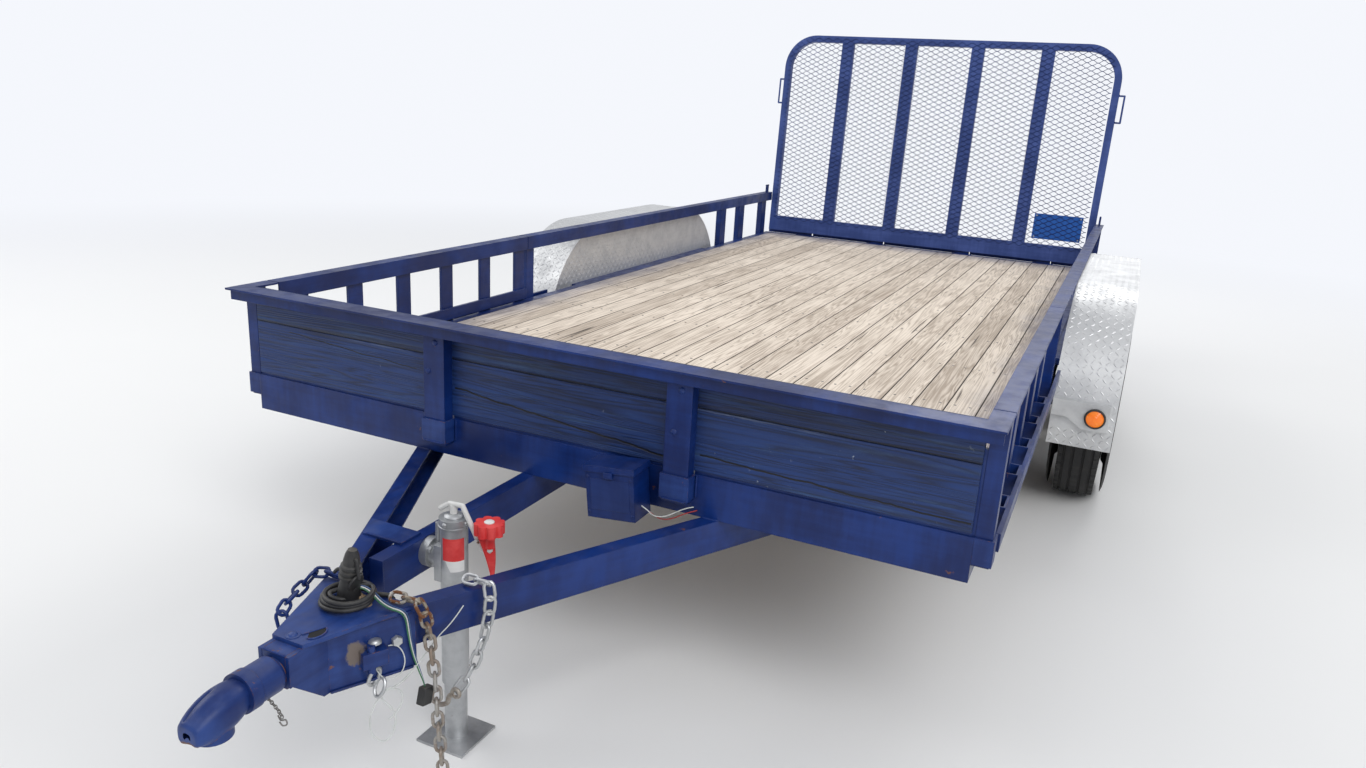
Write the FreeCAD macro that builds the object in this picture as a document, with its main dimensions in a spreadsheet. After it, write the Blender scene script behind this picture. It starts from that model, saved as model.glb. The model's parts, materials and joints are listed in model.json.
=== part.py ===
import FreeCAD, Part
import math
import os
import re

import Sketcher

os.makedirs("parts", exist_ok=True)
doc = FreeCAD.newDocument("UtilityTrailer")

# Driving sizes
# X runs to the trailer's right, Y from the coupler to the rear gate, Z up.
# The origin is the centre of the tow ball in the coupler socket.
# Each row: alias, value, what it is. Lengths in mm, angles in degrees.
SIZES = [
    ("ball_height", 410.0, "ball centre above the ground"),
    ("frame_top", 152.0, "top of the frame channels"),
    ("frame_half", 972.0, "outer face of a side beam"),
    ("frame_front", 982.0, "front face of the front crossmember"),
    ("frame_rear", 5015.0, "rear face of the rear crossmember"),
    ("channel_height", 100.0, "depth of the frame channels"),
    ("channel_flange", 37.0, "flange width of the frame channels"),
    ("channel_wall", 5.0, "wall of the channels"),
    ("plank_count", 21.0, "deck boards side by side"),
    ("plank_thick", 38.0, "thickness of a deck board"),
    ("plank_gap", 1.5, "gap between deck boards"),
    ("joist_pitch", 447.0, "spacing of the deck crossmembers"),
    ("joist_width", 40.0, "flange width of a deck crossmember"),
    ("joist_wall", 4.0, "wall of a deck crossmember"),
    ("tongue_height", 76.0, "depth of the drawbar channels"),
    ("tongue_flange", 37.0, "flange width of the drawbar beams"),
    ("tongue_spread", 424.0, "outer face of a drawbar beam at the frame front"),
    ("tongue_angle", 27.2, "turn of a drawbar beam from straight ahead"),
    ("tongue_under", 480.0, "length of a drawbar beam under the frame"),
    ("tongue_gap", 6.0, "gap between the front ends of the drawbar beams"),
    ("centre_beam_right", -67.0, "web face of the straight drawbar beam"),
    ("centre_beam_front", 455.0, "front end of the straight drawbar beam"),
    ("centre_flange", 33.0, "flange width of the straight drawbar beam"),
    ("cross_front", 525.0, "front edge of the drawbar's cross plate"),
    ("cross_depth", 62.0, "depth of the drawbar's cross plate"),
    ("cross_thick", 10.0, "thickness of the drawbar's cross plate"),
    ("nose_plate", 8.0, "thickness of the nose plates"),
    ("nose_front", 122.0, "front edge of the nose plates"),
    ("nose_half", 34.0, "outer half width of the nose at its front"),
    ("nose_length", 223.0, "length of the nose plates"),
    ("nose_drop", 114.0, "height of the nose plates"),
    ("nose_rise", 70.0, "length of the rising lower edge of the nose"),
    ("ball_bore", 25.6, "radius of the ball socket"),
    ("socket_wall", 7.0, "wall of the ball socket"),
    ("socket_depth", 26.0, "depth of the ball socket below the ball centre"),
    ("coupler_axis", 16.0, "height of the coupler centre line"),
    ("coupler_radius", 38.0, "largest radius of the coupler head"),
    ("coupler_tip", 45.0, "tip of the coupler in front of the ball centre"),
    ("neck_radius", 25.5, "radius of the coupler neck"),
    ("collar_radius", 35.0, "outer radius of the sliding collar"),
    ("collar_front", 50.0, "front end of the collar"),
    ("collar_length", 64.0, "length of the collar"),
    ("shank_length", 115.0, "length of the coupler shank between the nose plates"),
    ("jack_front", 590.0, "jack centre line behind the ball"),
    ("jack_radius", 28.5, "outer radius of the jack tube"),
    ("jack_top", 96.0, "top of the jack tube"),
    ("jack_length", 366.0, "length of the jack tube"),
    ("jack_wall", 4.0, "wall of the jack tube"),
    ("jack_cap", 16.0, "height of the jack's head cap"),
    ("leg_play", 0.3, "play of the jack's inner leg in its tube"),
    ("foot_size", 120.0, "side of the jack foot plate"),
    ("foot_thick", 6.0, "thickness of the jack foot plate"),
    ("mount_height", 19.0, "height of the jack's pipe mount"),
    ("mount_radius", 24.0, "radius of the jack's pipe mount"),
    ("mount_disc", 32.0, "radius of the jack mount's swivel disc"),
    ("crank_radius", 5.5, "radius of the jack's crank rod"),
    ("knob_radius", 31.0, "radius of the jack's knob"),
    ("knob_height", 25.0, "height of the jack's knob"),
    ("knob_place", 88.0, "knob centre beside the jack"),
    ("cap_top", 400.0, "top of the headboard cap and side rails"),
    ("cap_reach", 62.0, "front edge of the headboard cap before the frame front"),
    ("cap_depth", 59.0, "depth of the headboard cap"),
    ("cap_overhang", 35.0, "cap and side rails beyond the side beams"),
    ("cap_wall", 5.0, "wall of the cap and side rails"),
    ("cap_leg", 27.0, "height of the cap's front leg"),
    ("cap_setback", 13.0, "front leg of the cap behind its edge"),
    ("cap_return", 75.0, "cap's side returns behind the frame front"),
    ("rail_width", 45.0, "flat width of a side rail"),
    ("rail_drop", 50.0, "height of a side rail's inner leg"),
    ("rail_joint", 1303.0, "joint between the side rail sections behind the frame front"),
    ("rail_tail", 25.0, "rear end of the side rails behind the frame"),
    ("rail_gap", 4.0, "gap between rail sections"),
    ("board_thick", 19.0, "thickness of the headboard boards"),
    ("board_lift", 8.0, "lowest headboard board above the frame"),
    ("board_low_height", 146.0, "height of the lower headboard board"),
    ("board_end_gap", 7.0, "headboard board ends inside the side beams"),
    ("stake_width", 62.0, "width of a headboard stake"),
    ("stake_depth", 32.0, "depth of a headboard stake"),
    ("stake_left", -340.0, "left headboard stake's middle"),
    ("stake_right", 326.0, "right headboard stake's middle"),
    ("pocket_height", 58.0, "height of a front stake pocket"),
    ("pocket_wall", 5.0, "wall of a stake pocket"),
    ("corner_post", 36.0, "side of a corner post"),
    ("upright_width", 68.0, "width of a side rail upright"),
    ("upright_depth", 30.0, "depth of the space in a side pocket"),
    ("upright_thick", 6.0, "thickness of a side rail upright"),
    ("upright_pitch", 219.5, "spacing of the side rail uprights"),
    ("post_ahead", 217.0, "front post's front face ahead of the fender"),
    ("post_beside", 6.0, "second post's front face ahead of the fender's rear"),
    ("post_third", 489.0, "third post's front face ahead of the frame rear"),
    ("post_last", 117.0, "last post's front face ahead of the frame rear"),
    ("post_narrow", 50.0, "width of the front post along the rail"),
    ("post_wide", 74.0, "width of the other posts along the rail"),
    ("upright_left", 162.0, "first left upright behind the frame front"),
    ("upright_right", 232.0, "first right upright behind the frame front"),
    ("side_pocket_height", 75.0, "height of a side stake pocket"),
    ("bottom_bar", 40.0, "height of the rail's bottom bar"),
    ("bar_thick", 10.0, "thickness of the rail's bottom bar"),
    ("bar_lift", 6.0, "bottom bar above the frame"),
    ("rub_thick", 10.0, "thickness of the rub rail"),
    ("rub_height", 40.0, "height of the rub rail"),
    ("post_wall", 4.0, "wall of a rear rail post"),
    ("wheel_radius", 345.0, "outer radius of a tyre"),
    ("tyre_width", 204.0, "width of a tyre"),
    ("tyre_gap", 6.0, "gap between a tyre and the fender panel"),
    ("axle_setback", 1638.0, "middle between the axles ahead of the frame rear"),
    ("axle_spread", 838.0, "distance between the axles"),
    ("axle_radius", 30.0, "radius of an axle tube"),
    ("spindle_radius", 17.0, "radius of a wheel spindle"),
    ("spindle_play", 0.05, "running fit of the hub on the spindle"),
    ("rim_radius", 190.0, "bead seat radius of the rim"),
    ("rim_width", 152.0, "width of the rim over its flanges"),
    ("spring_span", 642.0, "distance between the eyes of a leaf spring"),
    ("spring_width", 44.0, "width of a leaf spring"),
    ("leaf_thick", 7.0, "thickness of one leaf"),
    ("eye_height", 20.0, "height of the spring eyes"),
    ("eye_radius", 15.0, "outer radius of a spring eye"),
    ("eye_bore", 7.0, "radius of a spring bolt"),
    ("hanger_wall", 6.0, "wall of the spring hangers"),
    ("hanger_depth", 52.0, "length of a spring hanger"),
    ("fender_gap", 36.0, "inner edge of a fender beyond the side beams"),
    ("fender_width", 204.0, "width of a fender"),
    ("fender_radius", 452.0, "radius of a fender round its axle"),
    ("fender_sheet", 3.0, "sheet thickness of the fenders"),
    ("fender_skirt", 40.0, "straight end of a fender below the axles"),
    ("fender_lip", 20.0, "depth of the fender's outer lip"),
    ("panel_lift", 28.0, "lower edge of the fender panel below the frame top"),
    ("bracket_top", 57.0, "top of a fender's lamp bracket"),
    ("bracket_reach", 16.0, "lamp bracket beyond the fender's lowest point"),
    ("bracket_width", 182.0, "width of a lamp bracket"),
    ("lamp_radius", 28.5, "radius of a round lamp"),
    ("lamp_depth", 12.0, "depth of a round lamp"),
    ("lamp_place", 140.0, "round lamp outside the fender's inner edge"),
    ("lamp_height", 8.0, "height of the round lamps"),
    ("bezel_radius", 34.0, "outer radius of a lamp bezel"),
    ("tail_place", 900.0, "rear lamp's middle from the centre line"),
    ("tail_width", 130.0, "width of a rear lamp"),
    ("tail_height", 46.0, "height of a rear lamp"),
    ("hinge_gap", 42.0, "gate hinge axis behind the frame"),
    ("hinge_drop", 14.0, "gate hinge axis below the frame top"),
    ("hinge_pin", 9.0, "radius of a gate hinge pin"),
    ("hinge_play", 0.05, "running fit of a gate hinge"),
    ("hinge_ear", 13.0, "radius of a gate hinge ear"),
    ("hinge_knuckle", 15.0, "radius of a gate hinge knuckle"),
    ("hinge_length", 80.0, "length of a gate hinge knuckle"),
    ("hinge_inner", 260.0, "inner gate hinges from the centre line"),
    ("hinge_outer", 720.0, "outer gate hinges from the centre line"),
    ("gate_lean", 3.4, "lean of the closed gate to the rear"),
    ("gate_side_gap", 7.0, "side of the gate inside the outer face of a side beam"),
    ("gate_start", 26.0, "lower edge of the gate above its hinge axis"),
    ("gate_height", 1190.0, "height of the gate"),
    ("gate_tube", 38.0, "side of the gate's square tube"),
    ("gate_corner", 190.0, "radius of the gate's top corners"),
    ("gate_rib", 71.0, "width of a gate rib"),
    ("rib_pitch", 382.0, "spacing of the gate ribs"),
    ("rib_shift", -7.0, "middle of the gate ribs from the centre line"),
    ("gate_bar", 90.0, "height of the gate's bottom bar"),
    ("plate_wide", 262.0, "width of the gate's blank plate"),
    ("plate_high", 142.0, "height of the gate's blank plate"),
    ("plate_sheet", 2.0, "thickness of the gate's blank plate"),
    ("plate_inset", 68.0, "blank plate's outer edge inside the side of the gate"),
    ("plate_lift", 121.0, "blank plate's lower edge above the lower edge of the gate"),
    ("mesh_long", 57.0, "long way of a mesh diamond"),
    ("mesh_short", 28.0, "short way of a mesh diamond"),
    ("mesh_strand", 3.4, "width of a mesh strand"),
    ("mesh_thick", 1.4, "thickness of a mesh strand"),
    ("mesh_layer", 0.2, "gap between crossing mesh strands"),
    ("loop_drop", 262.0, "upper end of the gate's side loops below its top"),
    ("loop_length", 142.0, "length of the gate's side loops"),
    ("loop_reach", 28.0, "gate's side loops beyond the gate"),
    ("loop_radius", 5.0, "radius of the rod loops"),
    ("battery_left", 142.0, "left side of the battery box"),
    ("battery_front", 92.0, "front of the battery box before the frame front"),
    ("battery_low", 31.0, "lower left corner of the battery box"),
    ("battery_width", 122.0, "width of the battery box"),
    ("battery_depth", 75.0, "depth of the battery box"),
    ("battery_height", 124.0, "height of the battery box"),
    ("battery_tilt", 6.0, "tilt of the battery box"),
    ("coil_radius", 52.0, "outer radius of the coiled cable"),
    ("coil_height", 30.0, "height of the coiled cable"),
    ("plug_radius", 22.0, "radius of the plug at its base"),
    ("plug_lean", 8.0, "lean of the upright plug"),
    ("plug_back", 292.0, "plug behind the ball centre"),
    ("link_pitch", 28.0, "pitch of the safety chain"),
    ("link_width", 25.0, "width of a chain link"),
    ("link_wire", 7.0, "wire of a chain link"),
]

sheet = doc.addObject("Spreadsheet::Sheet", "Sizes")
for row, (alias, value, note) in enumerate(SIZES, start=1):
    sheet.set(f"A{row}", note)
    sheet.set(f"B{row}", str(value))
    sheet.setAlias(f"B{row}", alias)
doc.recompute()

SIZE_NAMES = {alias for alias, value, note in SIZES}


def size(alias):
    """Read one driving size from the sheet as a plain number."""
    return float(sheet.get(alias))


def bound(text):
    """Turn a formula of size names into an expression on the sheet."""
    def link(match):
        word = match.group(0)
        return "Sizes." + word if word in SIZE_NAMES else word
    return re.sub(r"[a-z_]+", link, str(text))


def bind(item, prop, text):
    """Bind a property of an object to a formula of size names."""
    item.setExpression(prop, bound(text))


def put(item, x="0", y="0", z="0", axis=None, angle=None):
    """Place an object at formulas of size names, turned about one axis."""
    if axis is not None:
        item.Placement = FreeCAD.Placement(FreeCAD.Vector(0, 0, 0), FreeCAD.Rotation(axis, 30))
        bind(item, "Placement.Rotation.Angle", angle)
    for name, text in (("x", x), ("y", y), ("z", z)):
        bind(item, "Placement.Base." + name, text)
    return item


X_AXIS = FreeCAD.Vector(1, 0, 0)
Y_AXIS = FreeCAD.Vector(0, 1, 0)
Z_AXIS = FreeCAD.Vector(0, 0, 1)


def box(name, x, y, z, length, width, height):
    """Make a box from its least corner and its three sides."""
    item = doc.addObject("Part::Box", name)
    bind(item, "Length", length)
    bind(item, "Width", width)
    bind(item, "Height", height)
    return put(item, x, y, z)


def rod(name, x, y, z, radius, length, along="z"):
    """Make a cylinder from the centre of one end along an axis."""
    item = doc.addObject("Part::Cylinder", name)
    bind(item, "Radius", radius)
    bind(item, "Height", length)
    if along == "x":
        return put(item, x, y, z, Y_AXIS, "90")
    if along == "y":
        return put(item, x, y, z, X_AXIS, "-90")
    return put(item, x, y, z)


def cone(name, x, y, z, low_radius, high_radius, height):
    """Make an upright cone from the centre of its base."""
    item = doc.addObject("Part::Cone", name)
    bind(item, "Radius1", low_radius)
    bind(item, "Radius2", high_radius)
    bind(item, "Height", height)
    return put(item, x, y, z)


def cut(name, base, tool):
    """Cut one object out of another."""
    item = doc.addObject("Part::Cut", name)
    item.Base = base
    item.Tool = tool
    return item


def fuse(name, items):
    """Join objects into one solid."""
    item = doc.addObject("Part::MultiFuse", name)
    item.Shapes = items
    return item


def group(name, items):
    """Gather separate like solids in one sub-part."""
    item = doc.addObject("Part::Compound", name)
    item.Links = items
    return item


PLANES = {"xy": "XY_Plane", "xz": "XZ_Plane", "yz": "YZ_Plane"}


def body_pads(name, pads):
    """Make a body from pads, each a polygon of formulas on a base plane.

    A pad is (plane, points, start, thickness); it grows from its start along the
    third axis of the frame, always towards the larger coordinate.
    """
    body = doc.addObject("PartDesign::Body", name)
    planes = {plane.Role: plane for plane in body.Origin.OriginFeatures}
    for number, (plane, points, start, thickness) in enumerate(pads, start=1):
        sketch = body.newObject("Sketcher::SketchObject", f"{name}_outline{number}")
        sketch.AttachmentSupport = [(planes[PLANES[plane]], "")]
        sketch.MapMode = "FlatFace"
        reverse = plane == "xz"
        offset = f"-({start})" if reverse else str(start)
        sketch.setExpression("AttachmentOffset.Base.z", bound(offset))
        count = len(points)
        for index in range(count):
            turn = 2 * math.pi * index / count
            after = 2 * math.pi * (index + 1) / count
            sketch.addGeometry(
                Part.LineSegment(
                    FreeCAD.Vector(100 * math.cos(turn), 100 * math.sin(turn), 0),
                    FreeCAD.Vector(100 * math.cos(after), 100 * math.sin(after), 0),
                ),
                False,
            )
        for index in range(count):
            sketch.addConstraint(Sketcher.Constraint("Coincident", index, 2, (index + 1) % count, 1))
        for index, (across, up) in enumerate(points):
            for kind, text in (("DistanceX", across), ("DistanceY", up)):
                rule = sketch.addConstraint(Sketcher.Constraint(kind, -1, 1, index, 1, 10.0))
                sketch.setExpression(f"Constraints[{rule}]", bound(text))
        pad = body.newObject("PartDesign::Pad", f"{name}_pad{number}")
        pad.Profile = sketch
        pad.Reversed = reverse
        bind(pad, "Length", thickness)
    return body


SIDES = (("left", "-"), ("right", ""))


def mirror_points(points, sign):
    """Mirror the first coordinate of each point when the sign is a minus."""
    if sign == "-":
        return [(f"-({across})", up) for across, up in points]
    return points


def spanned(sign, inner, outer):
    """Give the least X of a span between two distances from the centre line."""
    return f"-({outer})" if sign == "-" else inner


def side_box(name, sign, inner, outer, y, z, width, height):
    """Make a box between two distances from the centre line, on one side."""
    return box(name, spanned(sign, inner, outer), y, z, f"({outer}) - ({inner})", width, height)


# Places that several pieces share
FRAME_BOTTOM = "(frame_top - channel_height)"
PLATE_TOP = f"({FRAME_BOTTOM} + nose_plate)"
CAP_FRONT = "(frame_front - cap_reach)"
CAP_HALF = "(frame_half + cap_overhang)"
RAIL_INNER = f"({CAP_HALF} - rail_width)"
RAIL_UNDER = "(cap_top - cap_wall)"
FENDER_IN = "(frame_half + fender_gap)"
FENDER_OUT = f"({FENDER_IN} + fender_width)"
WHEEL_X = f"({FENDER_IN} + tyre_gap + tyre_width / 2)"
AXLE_Z = "(wheel_radius - ball_height)"
AXLE_MIDDLE = "(frame_rear - axle_setback)"
AXLES = (
    ("front", f"({AXLE_MIDDLE} - axle_spread / 2)"),
    ("rear", f"({AXLE_MIDDLE} + axle_spread / 2)"),
)
FENDER_FRONT = f"({AXLES[0][1]} - fender_radius)"
FENDER_REAR = f"({AXLES[1][1]} + fender_radius)"
HINGE_Y = "(frame_rear + hinge_gap)"
HINGE_Z = "(frame_top - hinge_drop)"
NOSE_REAR = "(nose_front + nose_length)"
NOSE_BOTTOM = f"({FRAME_BOTTOM} - nose_drop)"
JACK_BOTTOM = "(jack_top - jack_length)"


# Main frame
def mitred_channel(name, web, flange):
    """Make a channel from its web and flange outlines in plan."""
    return body_pads(name, [
        ("xy", web, FRAME_BOTTOM, "channel_height"),
        ("xy", flange, FRAME_BOTTOM, "channel_wall"),
        ("xy", flange, "frame_top - channel_wall", "channel_wall"),
    ])


side_beams = []
for side, sign in SIDES:
    web = [
        ("frame_half", "frame_front"), ("frame_half", "frame_rear"),
        ("frame_half - channel_wall", "frame_rear - channel_wall"),
        ("frame_half - channel_wall", "frame_front + channel_wall"),
    ]
    flange = [
        ("frame_half", "frame_front"), ("frame_half", "frame_rear"),
        ("frame_half - channel_flange", "frame_rear - channel_flange"),
        ("frame_half - channel_flange", "frame_front + channel_flange"),
    ]
    side_beams.append(mitred_channel(f"frame_side_{side}", mirror_points(web, sign), mirror_points(flange, sign)))
group("frame_side_beams", side_beams)

end_beams = []
for end, face, inward in (("front", "frame_front", "+"), ("rear", "frame_rear", "-")):
    end_beams.append(mitred_channel(
        f"frame_crossmember_{end}",
        [
            ("-frame_half", face), ("frame_half", face),
            ("frame_half - channel_wall", f"{face} {inward} channel_wall"),
            ("-frame_half + channel_wall", f"{face} {inward} channel_wall"),
        ],
        [
            ("-frame_half", face), ("frame_half", face),
            ("frame_half - channel_flange", f"{face} {inward} channel_flange"),
            ("-frame_half + channel_flange", f"{face} {inward} channel_flange"),
        ],
    ))
group("frame_crossmembers", end_beams)

# Deck crossmembers on the lower flanges, under the boards
JOIST_HEIGHT = "channel_height - channel_wall - plank_thick"
joist_count = int((size("frame_rear") - size("frame_front")) / size("joist_pitch")) - 1
joists = []
for number in range(1, joist_count + 1):
    middle = f"(frame_front + joist_pitch * {number})"
    outer = box(
        f"joist_{number}_outer", "-frame_half + channel_wall", f"{middle} - joist_width / 2",
        f"{FRAME_BOTTOM} + channel_wall", "2 * (frame_half - channel_wall)", "joist_width", JOIST_HEIGHT,
    )
    inner = box(
        f"joist_{number}_inner", "-frame_half", f"{middle} - joist_width / 2 + joist_wall",
        f"{FRAME_BOTTOM} + channel_wall + joist_wall", "2 * frame_half", "joist_width",
        f"{JOIST_HEIGHT} - 2 * joist_wall",
    )
    joists.append(cut(f"joist_{number}", outer, inner))
group("deck_crossmembers", joists)

# Deck boards between the flange tips
PLANK_PITCH = "(2 * (frame_half - channel_flange) / plank_count)"
planks = []
for number in range(int(round(size("plank_count")))):
    planks.append(box(
        f"plank_{number + 1}",
        f"-frame_half + channel_flange + {PLANK_PITCH} * {number} + plank_gap / 2",
        "frame_front + channel_flange + plank_gap", "frame_top - plank_thick",
        f"{PLANK_PITCH} - plank_gap", "frame_rear - frame_front - 2 * channel_flange - 2 * plank_gap",
        "plank_thick",
    ))
group("deck_planks", planks)

# Drawbar beams under the frame, converging to the nose
TONGUE_BOTTOM = f"({FRAME_BOTTOM} - tongue_height)"
TONGUE_REAR = "(frame_front + tongue_under)"
FLANGE_TIP = "(tongue_spread - tongue_flange / cos(tongue_angle) - tongue_gap / 2)"
TONGUE_NOSE = f"(frame_front - {FLANGE_TIP} / tan(tongue_angle))"


def beam_outer(place):
    """Give the outer face of a drawbar beam at a place along Y."""
    return f"(tongue_spread - (frame_front - ({place})) * tan(tongue_angle))"


def beam_line(depth, place):
    """Give the distance of a line inside a beam's outer face at a place along Y."""
    return f"({beam_outer(place)} - {depth} / cos(tongue_angle))"


beams = []
for side, sign in SIDES:
    pads = []
    for depth, start, thickness in (
        ("channel_wall", TONGUE_BOTTOM, "tongue_height"),
        ("tongue_flange", TONGUE_BOTTOM, "channel_wall"),
        ("tongue_flange", f"{FRAME_BOTTOM} - channel_wall", "channel_wall"),
    ):
        points = [
            (beam_outer(TONGUE_NOSE), TONGUE_NOSE), (beam_outer(TONGUE_REAR), TONGUE_REAR),
            (beam_line(depth, TONGUE_REAR), TONGUE_REAR), (beam_line(depth, TONGUE_NOSE), TONGUE_NOSE),
        ]
        pads.append(("xy", mirror_points(points, sign), start, thickness))
    beams.append(body_pads(f"tongue_beam_{side}", pads))

centre_web = ("centre_beam_right - channel_wall", "centre_beam_right")
centre_flange = ("centre_beam_right - centre_flange", "centre_beam_right")
pads = []
for (near, far), start, thickness in (
    (centre_web, TONGUE_BOTTOM, "tongue_height"),
    (centre_flange, TONGUE_BOTTOM, "channel_wall"),
    (centre_flange, f"{FRAME_BOTTOM} - channel_wall", "channel_wall"),
):
    points = [
        (near, "centre_beam_front"), (far, "centre_beam_front"), (far, TONGUE_REAR), (near, TONGUE_REAR),
    ]
    pads.append(("xy", points, start, thickness))
beams.append(body_pads("tongue_beam_centre", pads))
group("tongue_beams", beams)

# Nose plates outside the beams, the top plate over them and the cross plate
nose_pads = [("xy", [
    ("-nose_half", "nose_front + 30"), ("nose_half", "nose_front + 30"),
    (f"{beam_outer(NOSE_REAR)} + nose_plate", NOSE_REAR),
    (f"-({beam_outer(NOSE_REAR)} + nose_plate)", NOSE_REAR),
], FRAME_BOTTOM, "nose_plate")]
BEND = "(frame_front - (tongue_spread + nose_plate / cos(tongue_angle) - nose_half) / tan(tongue_angle))"
for side, sign in SIDES:
    points = [
        ("nose_half - nose_plate", "nose_front"), ("nose_half", "nose_front"), ("nose_half", BEND),
        (f"{beam_outer(NOSE_REAR)} + nose_plate / cos(tongue_angle)", NOSE_REAR),
        (beam_outer(NOSE_REAR), NOSE_REAR),
        ("nose_half - nose_plate", "frame_front - (tongue_spread - nose_half + nose_plate) / tan(tongue_angle)"),
    ]
    nose_pads.append(("xy", mirror_points(points, sign), NOSE_BOTTOM, "nose_drop"))
nose_body = body_pads("nose_body", nose_pads)
nose_wedge = body_pads("nose_wedge", [("yz", [
    ("nose_front - 10", f"{NOSE_BOTTOM} - 10"), ("nose_front - 10", f"{FRAME_BOTTOM} - nose_drop / 2"),
    ("nose_front + 5", f"{FRAME_BOTTOM} - nose_drop / 2"), ("nose_front + nose_rise", NOSE_BOTTOM),
    ("nose_front + nose_rise", f"{NOSE_BOTTOM} - 10"),
], "-nose_half * 3", "nose_half * 6")])
cross_plate = body_pads("cross_plate", [("xy", [
    (f"-{beam_line('channel_wall', 'cross_front')}", "cross_front"),
    ("centre_beam_right - centre_flange / 2", "cross_front"),
    ("centre_beam_right - centre_flange / 2", "cross_front + cross_depth"),
    (f"-{beam_line('channel_wall', 'cross_front + cross_depth')}", "cross_front + cross_depth"),
], FRAME_BOTTOM, "cross_thick / 2")])
group("tongue_plates", [cut("tongue_nose", nose_body, nose_wedge), cross_plate])

# Coupler head with the ball socket, neck, shank and sliding collar
axis_z = size("coupler_axis")
head_radius = size("coupler_radius")
neck_radius = size("neck_radius")
tip = size("coupler_tip")
bore = size("ball_bore")
collar_end = size("collar_front") + size("collar_length")
# Each row: share of the head radius, place along Y
HEAD_ROWS = [(0.3, -tip), (0.62, -tip * 0.86), (0.84, -tip * 0.58), (1.0, -tip * 0.15), (1.0, tip * 0.5)]
head_outline = [(0.0, -tip)] + [(share * head_radius, place) for share, place in HEAD_ROWS]
head_outline += [(neck_radius + 6.0, tip * 0.96), (neck_radius, tip)]
head_outline += [(neck_radius, size("nose_front") + 20.0), (0.0, size("nose_front") + 20.0)]
head_wire = [FreeCAD.Vector(radius, place, axis_z) for radius, place in head_outline]
head_face = Part.Face(Part.makePolygon(head_wire + head_wire[:1]))
head = head_face.revolve(FreeCAD.Vector(0, 0, axis_z), FreeCAD.Vector(0, 1, 0), 360.0)
depth = size("socket_depth")
skirt = Part.makeCylinder(bore + size("socket_wall"), depth, FreeCAD.Vector(0, 0, -depth))
shank_half = size("nose_half") - size("nose_plate")
shank_low = axis_z - neck_radius
shank_high = size("frame_top") - size("channel_height")
shank = Part.makeBox(
    2 * shank_half, size("shank_length"), shank_high - shank_low,
    FreeCAD.Vector(-shank_half, size("nose_front"), shank_low),
)
socket = Part.makeCylinder(bore, 2 * depth, FreeCAD.Vector(0, 0, -2 * depth)).fuse(Part.makeSphere(bore))
coupler = doc.addObject("Part::Feature", "coupler_head")
coupler.Shape = head.multiFuse([skirt, shank]).cut(socket)
coupler.Placement = FreeCAD.Placement()
cut(
    "coupler_collar",
    fuse("collar_solid", [
        rod("collar_outer", "0", "collar_front", "coupler_axis", "collar_radius - 2.5", "collar_length", "y"),
        rod("collar_ring", "0", "collar_front", "coupler_axis", "collar_radius", "collar_length / 3", "y"),
    ]),
    rod("collar_inner", "0", "collar_front", "coupler_axis", "neck_radius", "collar_length", "y"),
)

# Jack on the web of the straight beam, turned on a swivel disc
cut(
    "jack_mount",
    fuse("mount_solid", [
        rod("mount_disc_plate", "centre_beam_right", "jack_front", "mount_height", "mount_disc", "18", "x"),
        rod("mount_pipe", "centre_beam_right", "jack_front", "mount_height", "mount_radius",
            "-centre_beam_right", "x"),
        box("mount_saddle", "-jack_radius - 5", "jack_front - mount_radius", "mount_height - 50",
            "jack_radius * 0.5 + 5", "2 * mount_radius", "80"),
        rod("mount_plunger", "centre_beam_right + 27", "jack_front", "mount_height", "6", "71"),
    ]),
    rod("mount_bore", "0", "jack_front", "mount_height - 60", "jack_radius", "120"),
)
cut(
    "jack_tube",
    fuse("tube_solid", [
        rod("tube_outer", "0", "jack_front", JACK_BOTTOM, "jack_radius", "jack_length"),
        rod("tube_cap", "0", "jack_front", "jack_top", "jack_radius + 2", "jack_cap"),
    ]),
    rod("tube_inner", "0", "jack_front", f"{JACK_BOTTOM} - 1", "jack_radius - jack_wall", "jack_length + 1"),
)
fuse("jack_leg", [
    rod("leg_rod", "0", "jack_front", "-ball_height", "jack_radius - jack_wall - leg_play",
        f"ball_height + {JACK_BOTTOM} + jack_length * 0.5"),
    box("leg_foot", "-foot_size / 2", "jack_front - foot_size / 2", "-ball_height", "foot_size", "foot_size",
        "foot_thick"),
])

# Bent crank rod over the jack, down to the knob on its upright handle
crank_top = size("jack_top") + size("jack_cap")
knob_x = size("knob_place")
crank_y = size("jack_front")
crank_r = size("crank_radius")
crank_low = size("jack_top") - 38.0
# Each row: X and Z of a bend of the crank rod
CRANK = [(-32.0, crank_top + 12), (-10.0, crank_top + 27), (22.0, crank_top + 29), (46.0, crank_top - 13),
         (knob_x - 18.0, crank_low), (knob_x, crank_low)]


def rod_chain(points, radius):
    """Make straight round rods with round joints through a list of points."""
    shapes = []
    for near, far in zip(points, points[1:]):
        along = far.sub(near)
        shapes.append(Part.makeCylinder(radius, along.Length, near, along))
    for point in points:
        shapes.append(Part.makeSphere(radius, point))
    return shapes[0].multiFuse(shapes[1:])


crank = doc.addObject("Part::Feature", "jack_crank")
crank_points = [FreeCAD.Vector(x, crank_y, z) for x, z in CRANK]
crank_stem = Part.makeCylinder(8.0, 26.0, FreeCAD.Vector(0, crank_y, crank_top))
crank_boss = Part.makeCylinder(7.0, 8.0, FreeCAD.Vector(knob_x, crank_y, crank_low))
crank.Shape = rod_chain(crank_points, crank_r).multiFuse([crank_stem, crank_boss])
crank.Placement = FreeCAD.Placement()

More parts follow.
